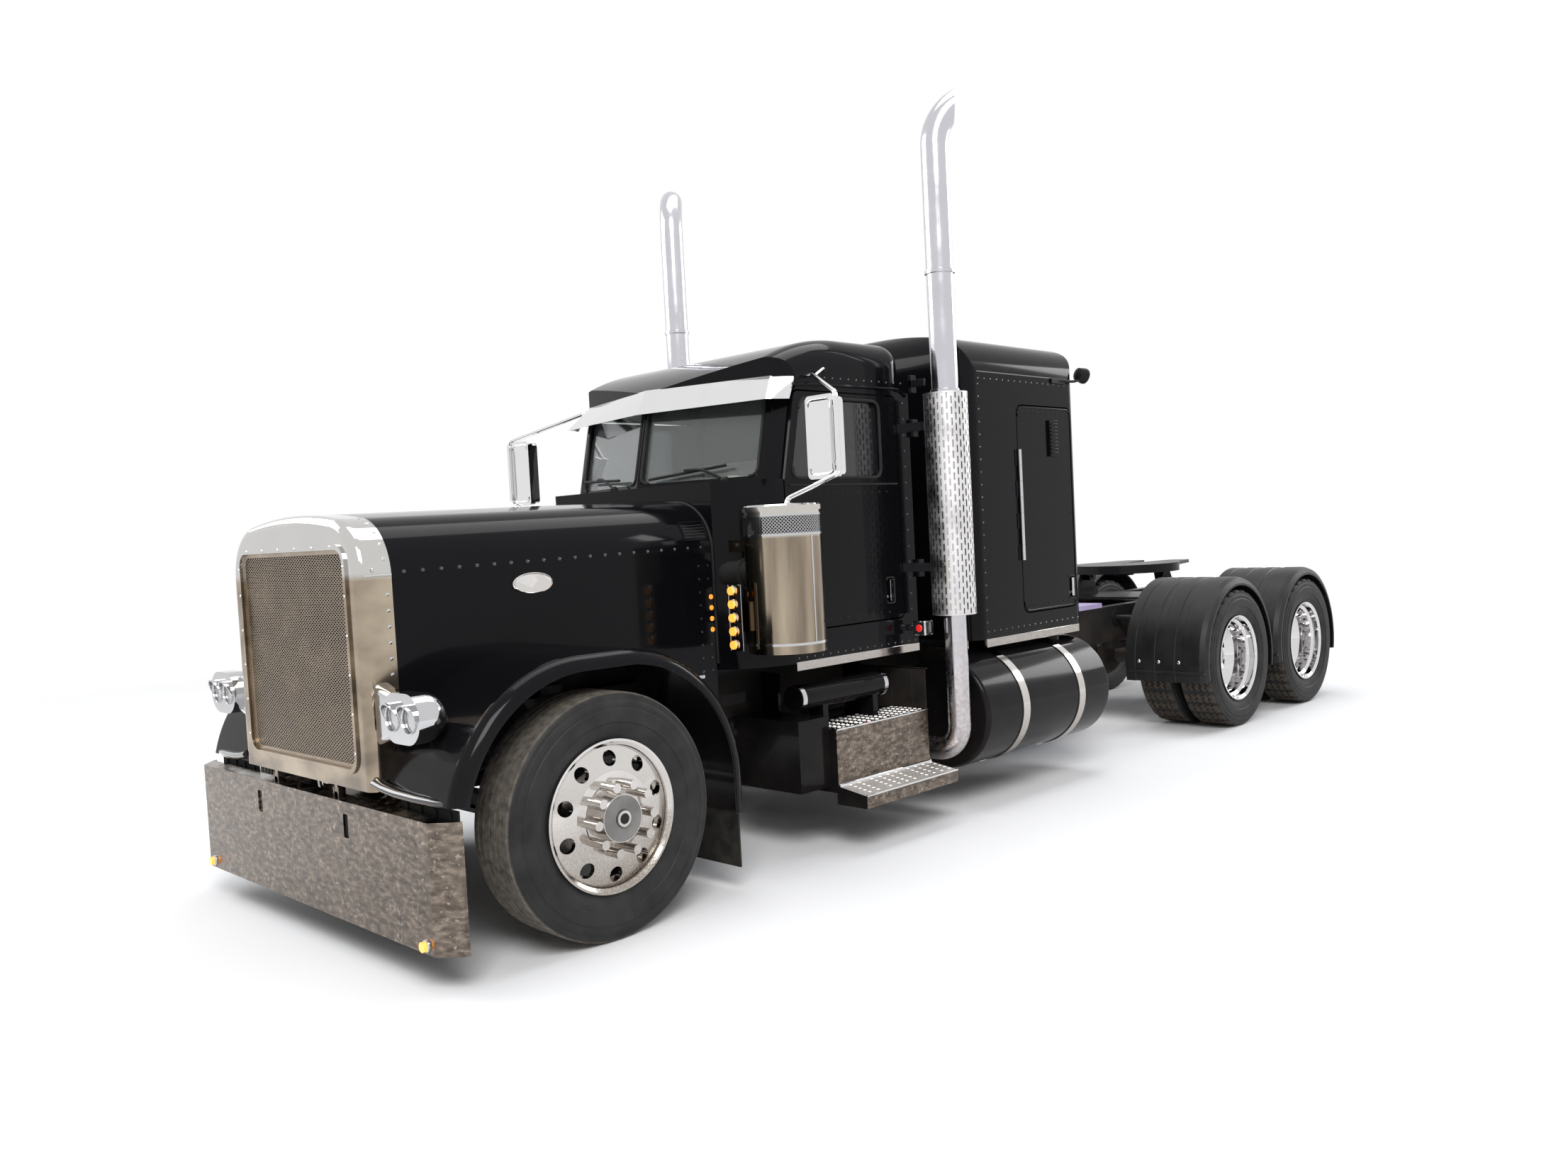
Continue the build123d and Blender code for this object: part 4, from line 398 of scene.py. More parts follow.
REAR_TREAD = tyre_material("rear_tyre_rubber", 0.5105, 0.519, (0.085, 0.070, 0.056))

# The CAD nodes of each material
FINISH = {
    BLACK: "hood cab_cowl cab_rear cab_roof sleeper_ends sleeper_sides sleeper_roof door_left door_right"
    " bunk_door_left bunk_door_right",
    BLACK_LOW: "front_fenders cab_floor sleeper_floor tanks step_boxes",
    CHASSIS: "frame_rails crossmembers axles springs fifth_wheel_base fifth_wheel knuckle_left"
    " knuckle_right tie_rod",
    CHROME: "headlamps",
    CHROME_BRIGHT: "sun_visor mirrors",
    CHROME_SIDE: "air_cleaners",
    CHROME_LOW: "front_bumper",
    SHELL: "grille_shell",
    STACK: "exhaust_stacks",
    ALLOY: "front_wheel_left front_wheel_right tank_brackets",
    ALLOY_REAR: "drive_wheel_1_left drive_wheel_1_right drive_wheel_2_left drive_wheel_2_right",
    SCREEN: "grille_screen",
    IRON: "powertrain",
    FLAP: "front_mudflaps",
    RUBBER: "boot",
    LENS: "headlamp_lenses",
    CLEAR: "windscreen",
    TINT: "door_glass_left door_glass_right",
    DASH: "dashboard",
    LEATHER: "seats",
    MARKER: "marker_lamps",
    PLASTIC: "rear_fenders",
    DECK: "deck_plate",
}
for material, names in FINISH.items():
    for name in names.split():
        nodes[name].data.materials.clear()
        nodes[name].data.materials.append(material)


# Mesh pieces

SMOOTH_ANGLE = radians(35)
BEVEL_ANGLE = radians(40)
SIDE = Vector((1, 0, 0))
FRONT = (0, -1, 0)
REAR = (0, 1, 0)
UP = (0, 0, 1)
HANDS = (("left", 1), ("right", -1))


class Kit:
    """Vertices and faces gathered into one joined mesh."""

    def __init__(self):
        self.verts = []
        self.faces = []

    def add(self, verts, faces):
        """Adds a mesh whose faces count from its own first vertex."""
        base = len(self.verts)
        self.verts += [tuple(v) for v in verts]
        self.faces += [tuple(base + i for i in f) for f in faces]

    def both(self):
        """Adds the mirror image across the truck's middle."""
        base = len(self.verts)
        count = len(self.faces)
        self.verts += [(-x, y, z) for x, y, z in self.verts]
        self.faces += [tuple(base + i for i in reversed(f)) for f in self.faces[:count]]
        return self

    def flip(self, sign):
        """Mirrors the mesh itself where the sign is negative."""
        if sign < 0:
            self.verts = [(-x, y, z) for x, y, z in self.verts]
            self.faces = [tuple(reversed(f)) for f in self.faces]
        return self

    def piece(self, name, material, body="chassis", bevel=0.0):
        """Makes the object and rides it on a body."""
        obj = mesh_object(name, self.verts, self.faces, material)
        obj.data.validate()
        if bevel:
            mod = obj.modifiers.new("edge", "BEVEL")
            mod.width = bevel
            mod.segments = 2
            mod.limit_method = "ANGLE"
            mod.angle_limit = BEVEL_ANGLE
        obj.data.shade_smooth()
        obj.data.set_sharp_from_angle(angle=SMOOTH_ANGLE)
        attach(obj, body)
        return obj

    def pair(self, name, material, body="chassis", bevel=0.0):
        """Makes the piece with its mirror image."""
        return self.both().piece(name, material, body, bevel)


def basis(axis):
    """An axis and two directions square to it."""
    axis = Vector(axis).normalized()
    helper = Vector((0, 0, 1)) if abs(axis.z) < 0.9 else Vector((1, 0, 0))
    u = axis.cross(helper).normalized()
    return axis, u, axis.cross(u).normalized()


def turns(count):
    """Angles once round."""
    return [2 * pi * k / count for k in range(count)]


def box(kit, x0, x1, d0, d1, z0, z1):
    """A box between two X, stations and heights."""
    corners = [at(x, d, z) for z in (z0, z1) for d in (d0, d1) for x in (x0, x1)]
    kit.add(corners, [(0, 2, 3, 1), (4, 5, 7, 6), (0, 1, 5, 4), (2, 6, 7, 3), (0, 4, 6, 2), (1, 3, 7, 5)])
    return kit


def skin(kit, rings, loop=False, foot=True, head=True):
    """Joins rings of as many points each, the last to the first or with caps on the first and the last."""
    rows, sides = len(rings), len(rings[0])
    faces = []
    for i in range(rows if loop else rows - 1):
        n = (i + 1) % rows
        for k in range(sides):
            m = (k + 1) % sides
            faces.append((i * sides + k, i * sides + m, n * sides + m, n * sides + k))
    if foot and not loop:
        faces.append(tuple(reversed(range(sides))))
    if head and not loop:
        faces.append(tuple(range((rows - 1) * sides, rows * sides)))
    kit.add([p for ring in rings for p in ring], faces)
    return kit


def circle(centre, u, v, radius, sides):
    """Points round a centre in the plane of two directions."""
    return [centre + radius * (cos(a) * u + sin(a) * v) for a in turns(sides)]


def turned(kit, origin, axis, profile, sides=24, closed=False):
    """Turns (along, radius) points about an axis."""
    axis, u, v = basis(axis)
    rings = [circle(Vector(origin) + axis * along, u, v, radius, sides) for along, radius in profile]
    return skin(kit, rings, closed)


def band(kit, origin, axis, inner, outer, wide, sides):
    """A ring of square section."""
    turned(kit, origin, axis, [(0.0, inner), (0.0, outer), (wide, outer), (wide, inner)], sides, True)


def rounded(path, bend):
    """The path with each corner replaced by a short quadratic bend."""
    out = [path[0]]
    for a, b, c in zip(path, path[1:], path[2:]):
        reach = min(bend, 0.45 * (a - b).length, 0.45 * (c - b).length)
        start = b + (a - b).normalized() * reach
        end = b + (c - b).normalized() * reach
        for k in range(7):
            t = k / 6
            out.append(start * (1 - t) ** 2 + b * 2 * t * (1 - t) + end * t**2)
    out.append(path[-1])
    return out


def rod(kit, points, radius, sides=8, bend=0.0):
    """A round bar through points, with round bends where a radius is given."""
    path = [Vector(p) for p in points]
    if bend:
        path = rounded(path, bend)
    u = basis(path[1] - path[0])[1]
    rings = []
    for i, p in enumerate(path):
        ahead = (path[min(i + 1, len(path) - 1)] - path[max(i - 1, 0)]).normalized()
        u = (u - ahead * u.dot(ahead)).normalized()
        rings.append(circle(p, u, ahead.cross(u), radius, sides))
    return skin(kit, rings)


def hoop(kit, corners, bend, radius, sides=8):
    """A round bar along a closed path with rounded corners."""
    rod(kit, rounded(corners + corners[:2], bend)[1:-1], radius, sides)


def rivet(kit, place, normal, radius=0.009, rise=0.0045, sides=8):
    """A domed rivet head on a surface."""
    turned(kit, place, normal, [(0.0, radius), (0.6 * rise, 0.82 * radius), (rise, 0.35 * radius)], sides)


SMALL_RIVET = (0.006, 0.003)
BUNK_RIVET = (0.0055, 0.003)


def rivet_row(kit, start, step, count, size=SMALL_RIVET):
    """Rivets on the left side, from a start by steps in station and height."""
    x, d, z = start
    for k in range(count):
        rivet(kit, at(x, d + step[0] * k, z + step[1] * k), SIDE, *size)


# Tyres: ribbed or lugged tread, ringed sidewalls given as (across, radius)
TREAD_HALF = TYRE_W / 2 - 0.026
SIDEWALL = ((-0.103, 0.3113), (-0.104, 0.330), (-0.118, 0.352), (-0.131, 0.385), (-0.1315, 0.392),
            (-0.1365, 0.396), (-TYRE_W / 2, 0.425), (-0.1385, 0.450), (-0.1345, 0.455), (-0.1345, 0.461),
            (-0.136, 0.466), (-0.131, 0.487), (-0.1285, 0.490), (-0.1285, 0.495), (-0.1275, 0.505),
            (-TREAD_HALF, 0.520))
LAND_R = TYRE_R - 0.0005
GROOVE_R = TYRE_R - 0.012
SIPE_DEPTH = 0.010
ZIGZAG = 0.009
TYRE_ANGLE = radians(32)


def tyre(name, node, body, centres, station, lugs, material):
    """One body's tyres as a ringed lathe whose tread is cut by grooves, with zigzags and sipes on lugs."""
    kit = Kit()
    turn = []
    around, width = (180, 0.0065) if lugs else (120, 0.005)
    profile = list(SIDEWALL)
    for g in (-0.072, -0.026, 0.026, 0.072) if lugs else (-0.078, -0.040, 0.0, 0.040, 0.078):
        profile += [(g - width, LAND_R), (g - 0.6 * width, GROOVE_R), (g + 0.6 * width, GROOVE_R),
                    (g + width, LAND_R)]
    profile += [(-a, r) for a, r in reversed(SIDEWALL)]
    for centre in centres:
        rings = []
        for a, r in profile:
            inner = lugs and abs(a) < TREAD_HALF - 0.004 and r > 0.505
            ring = []
            for k, angle in enumerate(turns(around)):
                shift = (ZIGZAG if k % 2 else -ZIGZAG) if inner else 0.0
                radius = r - (SIPE_DEPTH if lugs and k % 6 in (0, 1) and r > 0.515 else 0.0)
                ring.append((centre + a + shift, AXLE_Y + station + radius * cos(angle),
                             TYRE_R + radius * sin(angle)))
                turn.append((k / around, radius))
            rings.append(ring)
        skin(kit, rings, True)
    obj = mesh_object(name, kit.verts, kit.faces, material)
    mesh = obj.data
    layer = mesh.uv_layers.new(name="turn")
    for loop in mesh.loops:
        layer.data[loop.index].uv = turn[loop.vertex_index]
    work = bmesh.new()
    work.from_mesh(mesh)
    bmesh.ops.recalc_face_normals(work, faces=work.faces)
    work.to_mesh(mesh)
    work.free()
    mesh.shade_smooth()
    mesh.set_sharp_from_angle(angle=TYRE_ANGLE)
    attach(obj, body)
    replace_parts(obj, node)


for side, sign in HANDS:
    tyre(f"front_tread_{side}", f"front_tyre_{side}", f"front_wheel_{side}", [sign * FRONT_TYRE_X], 0.0, False,
         FRONT_TREAD)
    for number, station in enumerate(DRIVES, 1):
        tyre(f"drive_tread_{number}_{side}", f"drive_tyres_{number}_{side}", f"drive_wheel_{number}_{side}",
             [sign * REAR_TYRE_X, sign * (REAR_TYRE_X - TWIN)], station, True, REAR_TREAD)

# Grille: a fine expanded mesh with a flat border in the shell's opening, and behind it a near-black sheet for the
# radiator core, its darkness painted shade
MESH_HALF, MESH_LOW, MESH_HIGH, MESH_CORNER = 0.5145, 0.7905, 1.6895, 0.0595
MESH_D, MESH_PITCH, MESH_STEP = -0.776, 0.026, 0.0075
WIRE, WIRE_DEPTH, BORDER = 0.0019, 0.004, 0.016
SCREEN_CORNER = 0.046


def in_mesh(x, z):
    """True inside the grille's round-cornered opening."""
    dx = max(abs(x) - (MESH_HALF - MESH_CORNER), 0.0)
    dz = max(MESH_LOW + MESH_CORNER - z, z - (MESH_HIGH - MESH_CORNER), 0.0)
    return hypot(dx, dz) < MESH_CORNER


def corner_turns(half, low, high, corner):
    """Round corners of an opening: each point's corner centre, and its cosine and sine about it."""
    out = []
    for x, z, start in ((half - corner, high - corner, 0), (corner - half, high - corner, 90),
                        (corner - half, low + corner, 180), (half - corner, low + corner, 270)):
        for k in range(7):
            a = radians(start + 15 * k)
            out.append((x, z, cos(a), sin(a)))
    return out


grille = Kit()
columns = int(2 * MESH_HALF / MESH_PITCH)
for row in range(int((MESH_HIGH - MESH_LOW) / MESH_STEP)):
    points = []
    for k in range(2 * columns + 1):
        rise = 0.46 * MESH_STEP * (1 if (k + row) % 2 else -1)
        points.append((-MESH_HALF + k * MESH_PITCH / 2, MESH_LOW + (row + 0.5) * MESH_STEP + rise))
    for (x0, z0), (x1, z1) in zip(points, points[1:]):
        if in_mesh(x0, z0) and in_mesh(x1, z1):
            section = ((x0, z0 - WIRE), (x1, z1 - WIRE), (x1, z1 + WIRE), (x0, z0 + WIRE))
            grille.add([at(x, d, z) for d in (MESH_D, MESH_D + WIRE_DEPTH) for x, z in section],
                       [(0, 1, 2, 3), (3, 2, 6, 7), (1, 0, 4, 5)])
rings = []
for reach, d in ((MESH_CORNER, -0.003), (MESH_CORNER - BORDER, -0.003), (MESH_CORNER - BORDER, 0.006)):
    outline = reversed(corner_turns(MESH_HALF, MESH_LOW, MESH_HIGH, MESH_CORNER))
    rings.append([at(x + reach * ca, MESH_D + d, z + reach * sa) for x, z, ca, sa in outline])
skin(grille, rings, foot=False, head=False)
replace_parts(grille.piece("grille_mesh", SCREEN, "hood"), "grille_screen")

outline = [(x + SCREEN_CORNER * ca, z + SCREEN_CORNER * sa)
           for x, z, ca, sa in corner_turns(0.512, 0.791, 1.689, SCREEN_CORNER)]
skin(Kit(), [[at(x, d, z) for x, z in reversed(outline)] for d in (-0.766, -0.7645)]).piece(
    "radiator_shade_sheet", DARK, "hood")

# Hood and grille shell: rivets, seams, strips, seal, vents and a blank badge
HOOD_SHOULDER = 0.25
HOOD_CROWN = 0.026
HOOD_FRONT = -0.645
HOOD_LENGTH = 1.715
SHELL_SIDE = 0.630
SHELL_FACE = -0.799
SEAL_D = 1.0778
SEAL_R = 0.0072
BADGE_D, BADGE_Z = 0.016, 1.500


def hood_half(d):
    """Half-width of the hood at a station."""
    return 0.630 + 0.035 * (d - HOOD_FRONT) / HOOD_LENGTH


def hood_top(d):
    """Top of the hood at a station."""
    return 1.846 + 0.024 * (d - HOOD_FRONT) / HOOD_LENGTH


def hood_point(d, angle):
    """A point and normal on the hood's left shoulder: 0 degrees is its side, 86 its top."""
    a = radians(angle)
    x = hood_half(d) - HOOD_SHOULDER + HOOD_SHOULDER * cos(a)
    z = hood_top(d) - HOOD_CROWN - HOOD_SHOULDER + HOOD_SHOULDER * sin(a)
    return at(x, d, z), Vector((cos(a), 0, sin(a)))


kit = Kit()
rivet_row(kit, (SHELL_SIDE, -0.668, 0.78), (0.0, 0.0655), 12, (0.009, 0.0045))
for angle in (2, 17, 32, 47, 62, 77):
    spot, normal = hood_point(-0.668, angle)
    rivet(kit, spot - Vector((0.0006, 0, 0)), normal)
rivet(kit, at(SHELL_SIDE, -0.725, 1.60), SIDE)
kit.pair("shell_rivets", CHROME, "hood")

kit = Kit()
box(kit, 0.628, 0.633, -0.765, -0.645, 1.574, 1.581)
kit.both()
for k in range(6):
    rivet(kit, at(-0.42 + 0.168 * k, SHELL_FACE, 1.702), FRONT, 0.008)
for z in (0.86, 1.02, 1.18, 1.34, 1.50, 1.62):
    for x in (-0.526, 0.526):
        rivet(kit, at(x, SHELL_FACE, z), FRONT, 0.007)
kit.piece("shell_seam", CHROME, "hood", 0.001)

kit = Kit()
for k in range(20):
    rivet(kit, *hood_point(-0.59 + 0.084 * k, 4), 0.0095, 0.005)
for d in (0.985, 1.045):
    rivet_row(kit, (hood_half(d), d, 0.99), (0.0, 0.066), 9)
for d in (0.80, 0.86, 0.92, 0.98):
    rivet(kit, at(hood_half(d), d, 0.985), SIDE, *SMALL_RIVET)
kit.pair("hood_rivets", RIVET, "hood")


def seam_section(k):
    """The hood seam's section at a tenth of the hood's length."""
    d = HOOD_FRONT + HOOD_LENGTH * k / 10
    x, z = hood_half(d), hood_top(d) - 0.296
    return [at(x - 0.002, d, z + 0.004), at(x + 0.0015, d, z + 0.004), at(x + 0.0015, d, z), at(x - 0.002, d, z)]


kit = Kit()
for k in range(10):
    skin(kit, [seam_section(k), seam_section(k + 1)])
kit.pair("hood_seam", BLACK, "hood")

kit = Kit()
box(kit, 0.655, 0.6665, 0.825, 0.985, 0.955, 0.972)
rivet(kit, at(0.6665, 0.968, 0.9635), SIDE, 0.006, 0.004)
kit.pair("hood_strips", CHROME, "hood", 0.001)

kit = Kit()
path = [at(hood_half(SEAL_D) + 0.002, SEAL_D, z) for z in (1.02, 1.2, 1.4)]
for k in range(13):
    spot, normal = hood_point(SEAL_D, 86 * k / 12)
    path.append(spot + 0.002 * normal)
rod(kit, path, SEAL_R)
kit.both()
edge = path[-1]
over = ((edge.x, 0.0), (0.2, 0.006), (0.0, 0.008), (-0.2, 0.006), (-edge.x, 0.0))
rod(kit, [(x, edge.y, edge.z + rise) for x, rise in over], SEAL_R)
kit.piece("hood_seal", RUBBER)

vents = Kit()
vent_glint_dots = Kit()
frame_line = [Vector(c) for c in ((0.905, 13.0), (1.058, 13.0), (1.058, 36.0), (0.905, 36.0), (0.905, 13.0))]
path = [frame_line[0]] + [a.lerp(b, k / 8) for a, b in zip(frame_line, frame_line[1:]) for k in range(1, 9)]
rod(vents, [spot + 0.001 * normal for spot, normal in (hood_point(d, a) for d, a in path)], 0.0045)
# The grids' holes are rows of small domes lighter than the paint: painted glints in the holes
for row in range(5):
    for k in range(17):
        d = 0.918 + 0.008 * k + (0.004 if row % 2 else 0.0)
        rivet(vent_glint_dots, *hood_point(d, 17.0 + 3.6 * row), 0.0026, 0.0012, 6)
vents.pair("hood_vents", BLACK, "hood")
vent_glint_dots.pair("hood_vent_grid_glints", IRON, "hood")

rings = []
for reach, out in ((1.0, 0.0), (1.0, 0.005), (0.93, 0.007), (0.88, 0.005)):
    rings.append([at(hood_half(BADGE_D) + out, BADGE_D + 0.105 * reach * cos(a),
                     BADGE_Z + 0.047 * reach * sin(a)) for a in turns(40)])
skin(Kit(), rings, foot=False).pair("hood_badge_blank", ALLOY, "hood")

# Headlamps: rims, reflectors and lens detail behind the glass
LAMP_Z = 1.026
lamp_rims = Kit()
lamp_bowls = Kit()
for x in (0.818, 0.948):
    rim = [(0.0, 0.0546), (0.005, 0.0542), (0.006, 0.0520), (0.001, 0.0495)]
    turned(lamp_rims, at(x, -0.779, LAMP_Z), FRONT, rim, 40, True)
    bowl = at(x, -0.7665, LAMP_Z)
    turned(lamp_bowls, bowl, FRONT, [(0.0002, 0.0), (0.0003, 0.026), (0.0008, 0.0515)], 40)
    turned(lamp_bowls, bowl, FRONT, [(0.0, 0.016), (0.0012, 0.015), (0.0014, 0.006)], 20)
lamp_rims.pair("headlamp_rims", CHROME, "hood")
lamp_bowls.pair("headlamp_bowls", CHROME, "hood")

# Front fenders: a rolled lip at the nose, a bead along the wheel opening and the flaps' clamps
EDGE_R = 0.590
EDGE_Z = 0.562
LIP_SIDES = 16
# Each row: X, station, height, share of the full section
LIP = ((0.638, -0.770, 0.748, 1.0), (0.70, -0.768, 0.735, 1.0), (0.80, -0.760, 0.722, 1.0),
       (0.92, -0.747, 0.714, 1.0), (1.03, -0.730, 0.709, 1.0), (1.09, -0.718, 0.707, 0.96),
       (1.118, -0.711, 0.707, 0.80), (1.132, -0.706, 0.707, 0.45))


def fender_edge():
    """Stations and heights along the wheel opening, from front to rear."""
    out = []
    for centre, first, last, steps in ((-0.110, 168, 90, range(17)), (0.100, 90, 0, range(1, 19))):
        for k in steps:
            a = radians(first + (last - first) * k / steps[-1])
            out.append((centre + EDGE_R * cos(a), EDGE_Z + EDGE_R * sin(a)))
    out.append((0.100 + EDGE_R, 0.392))
    return [(d, z) for d, z in out if z > 0.705 or d > 0]


rings = []
for x, d, z, share in LIP:
    rings.append([at(x, d + 0.030 * share * cos(-a), z + 0.019 * share * sin(-a))
                  for a in turns(LIP_SIDES)])
skin(Kit(), rings).pair("fender_lips", RIVET, "hood")
rod(Kit(), [at(1.172, d, z) for d, z in fender_edge()], 0.007).pair("fender_beads", RUBBER, "hood")
kit = Kit()
for x in (0.80, 0.92, 1.04):
    rivet(kit, at(x, 0.758, 0.425), REAR, 0.012, 0.006)
box(kit, 0.765, 1.105, 0.7582, 0.762, 0.405, 0.44)
kit.pair("flap_clamps", CHASSIS, "hood", 0.001)

# Bumper: lamp rings, ribbed splash panels and near-black plates in the tow slots, painted shade inside them
rim = [(0.0, 0.026), (0.006, 0.025), (0.008, 0.021), (0.0, 0.0205)]
turned(Kit(), at(1.042, -0.8155, 0.181), FRONT, rim, 24, True).pair("bumper_lamp_rings", CHROME)
kit = Kit()
box(kit, 0.700, 1.140, -0.705, -0.698, 0.470, 0.684)
for x in (0.74, 0.85, 0.96, 1.07):
    box(kit, x, x + 0.022, -0.711, -0.7045, 0.480, 0.674)
kit.pair("splash_panels", RUBBER, bevel=0.002)
kit = Kit()
for x in (-0.43, 0.43):
    box(kit, x - 0.03, x + 0.03, -0.8065, -0.800, 0.49, 0.62)
kit.piece("tow_slot_shade", DARK, bevel=0.001)

# Cab: rivets, drip rails and sill trim
CAB_SIDE = 0.880
BUNK_SIDE = 1.000
kit = Kit()
rivet_row(kit, (CAB_SIDE, 1.45, 1.010), (0.0605, 0.0), 17)
rivet_row(kit, (CAB_SIDE, 2.395, 1.10), (0.0, 0.09), 15)
rivet_row(kit, (CAB_SIDE, 1.62, 2.470), (0.064, 0.0), 13)
kit.pair("cab_rivets", RIVET)
path = ((1.50, 2.425), (1.66, 2.432), (2.36, 2.436), (2.42, 2.40))
rod(Kit(), [at(0.882, d, z) for d, z in path], 0.009, bend=0.05).pair("drip_rails", BLACK)
kit = Kit()
box(kit, 0.872, 0.884, 1.43, 2.449, 0.946, 0.992)
box(kit, 0.975, 1.003, 2.95, 4.00, 0.912, 0.962)
box(kit, 0.60, 0.93, 2.848, 2.862, 0.912, 0.962)
box(kit, 0.60, 0.95, 4.068, 4.082, 0.912, 0.962)
kit.pair("sill_trim", CHROME_LOW, bevel=0.002)

# Doors: gaskets, rivets, a bunk vent, handles and hinge sleeves
WINDOW = ((1.462, 1.942), (1.552, 2.362), (2.180, 2.362), (2.180, 1.942))
BUNK_EDGE = ((3.376, 1.096), (3.376, 2.364), (3.984, 2.364), (3.984, 1.096))
KNUCKLE = 0.098


def hinge_sleeve(kit, number):
    """A bright sleeve on one knuckle of the bunk door's hinge."""
    band(kit, at(1.012, 3.364, 1.415 + KNUCKLE * number), UP, 0.0118, 0.0130, 0.097, 20)


for side, sign in HANDS:
    kit = Kit()
    rivet_row(kit, (CAB_SIDE, 1.60, 1.862), (0.062, 0.0), 11)
    rivet_row(kit, (CAB_SIDE, 1.50, 1.190), (0.070, 0.0), 11)
    hoop(kit, [at(0.8805, d, z) for d, z in WINDOW], 0.06, 0.009)
    rod(kit, [at(0.8805, 1.44, 1.905), at(0.8805, 2.318, 1.905)], 0.006)
    kit.flip(sign).piece(f"door_gaskets_{side}", RUBBER, f"door_{side}")
    kit = Kit()
    hoop(kit, [at(1.0006, d, z) for d, z in BUNK_EDGE], 0.06, 0.0055, 6)
    for z in (1.125, 2.335):
        rivet_row(kit, (BUNK_SIDE, 3.42, z), (0.058, 0.0), 10, BUNK_RIVET)
    rivet_row(kit, (BUNK_SIDE, 3.957, 1.14), (0.0, 0.0695), 18, BUNK_RIVET)
    box(kit, 0.999, 1.016, 3.715, 3.815, 2.06, 2.29)
    for k in range(9):
        box(kit, 1.015, 1.021, 3.725, 3.805, 2.075 + 0.023 * k, 2.087 + 0.023 * k)
    kit.flip(sign).piece(f"bunk_trim_{side}", BLACK, f"bunk_door_{side}", 0.0015)

for side, sign in HANDS:
    for body, skin_x, d0, z0 in (("door", CAB_SIDE, 2.185, 1.240), ("bunk_door", BUNK_SIDE, 3.905, 1.140)):
        handle = Kit()
        rim = Kit()
        corners = ((-0.002, -0.002), (-0.002, 0.142), (0.064, 0.142), (0.064, -0.002))
        hoop(rim, [at(skin_x + 0.001, d0 + d, z0 + z) for d, z in corners], 0.014, 0.0048)
        box(handle, skin_x - 0.0025, skin_x + 0.0025, d0 + 0.029, d0 + 0.055, z0 + 0.011, z0 + 0.129)
        lock = [(0.0, 0.008), (0.004, 0.008), (0.005, 0.006)]
        turned(handle, at(skin_x - 0.012, d0 + 0.015, z0 + 0.035), SIDE, lock, 16)
        if body == "bunk_door":
            for number in (1, 3, 5):
                hinge_sleeve(handle, number)
        handle.flip(sign).piece(f"{body}_handle_{side}", CHROME, f"{body}_{side}", 0.0012)
        rim.flip(sign).piece(f"{body}_handle_rim_{side}", RUBBER, f"{body}_{side}")
kit = Kit()
for number in (0, 2, 4, 6):
    hinge_sleeve(kit, number)
kit.pair("bunk_hinge_sleeves", CHROME)

# Sleeper: rivets, and work lamps on the rear corners
kit = Kit()
for z in (2.520, 1.005):
    rivet_row(kit, (BUNK_SIDE, 2.97, z), (0.064, 0.0), 17)
rivet_row(kit, (BUNK_SIDE, 2.965, 1.06), (0.0, 0.075), 20)
rod(kit, [at(1.001, 2.955, 2.560), at(1.001, 3.985, 2.560)], 0.004, 6)
kit.pair("sleeper_rivets", RIVET)
kit = Kit()
box(kit, 0.99, 1.012, 3.77, 3.93, 2.528, 2.560)
rod(kit, [at(1.005, 3.85, 2.545), at(1.030, 4.02, 2.548), at(1.020, 4.13, 2.575)], 0.009, bend=0.04)
shade = [(-0.045, 0.020), (-0.035, 0.043), (0.015, 0.052), (0.028, 0.050), (0.024, 0.040)]
turned(kit, at(1.020, 4.125, 2.595), (0.35, 1.0, -0.25), shade)
kit.pair("work_lamps", CHASSIS, bevel=0.001)

# Stacks: slotted sleeves round the mufflers, clamps and brackets
STACK_X, STACK_D = 1.120, 2.480
SHIELD_LOW, SHIELD_HIGH, SHIELD_R = 1.160, 2.390, 0.1235
SLOT_COLUMNS, SLOT_ROWS = 32, 20
SLOT_CUTS = (0.0, 0.30, 0.70, 1.0)
SLOT_LEVELS = (0.0, 0.16, 0.84, 1.0)


def shield_point(turn, z):
    """A point on the shield's wall at a share of a column's width."""
    a = 2 * pi / SLOT_COLUMNS * turn
    return at(STACK_X + SHIELD_R * cos(a), STACK_D + SHIELD_R * sin(a), z)


kit = Kit()
tall = (SHIELD_HIGH - SHIELD_LOW - 0.03) / SLOT_ROWS
for column in range(SLOT_COLUMNS):
    for row in range(-1, SLOT_ROWS + 1):
        foot = SHIELD_LOW + 0.015 + row * tall + (0.5 * tall if column % 2 else 0.0)
        for i in range(3):
            for j in range(3):
                low, high = (min(max(foot + SLOT_LEVELS[n] * tall, SHIELD_LOW), SHIELD_HIGH) for n in (j, j + 1))
                if (i == 1 and j == 1) or high - low < 1e-5:
                    continue
                a, b = column + SLOT_CUTS[i], column + SLOT_CUTS[i + 1]
                kit.add([shield_point(a, low), shield_point(b, low), shield_point(b, high), shield_point(a, high)],
                        [(0, 1, 2, 3)])
for z in (SHIELD_LOW, SHIELD_HIGH):
    band(kit, at(STACK_X, STACK_D, z - 0.004), UP, SHIELD_R - 0.003, SHIELD_R + 0.001, 0.008, 48)
kit.pair("muffler_shields", SHIELD)
kit = Kit()
for z, wide in ((2.392, 0.080), (1.150, 0.068), (3.05, 0.080)):
    strap = [(0.0, wide), (0.002, wide + 0.004), (0.020, wide + 0.004), (0.022, wide)]
    turned(kit, at(STACK_X, STACK_D, z), UP, strap, 36)
kit.pair("stack_clamps", STACK)
kit = Kit()
for z in (1.42, 2.22, 2.47):
    box(kit, 0.885, 0.995, 2.452, 2.470, z - 0.02, z + 0.02)
    box(kit, 0.885, 0.905, 2.452, 2.500, z - 0.05, z + 0.05)
kit.pair("stack_brackets", CHASSIS, bevel=0.002)

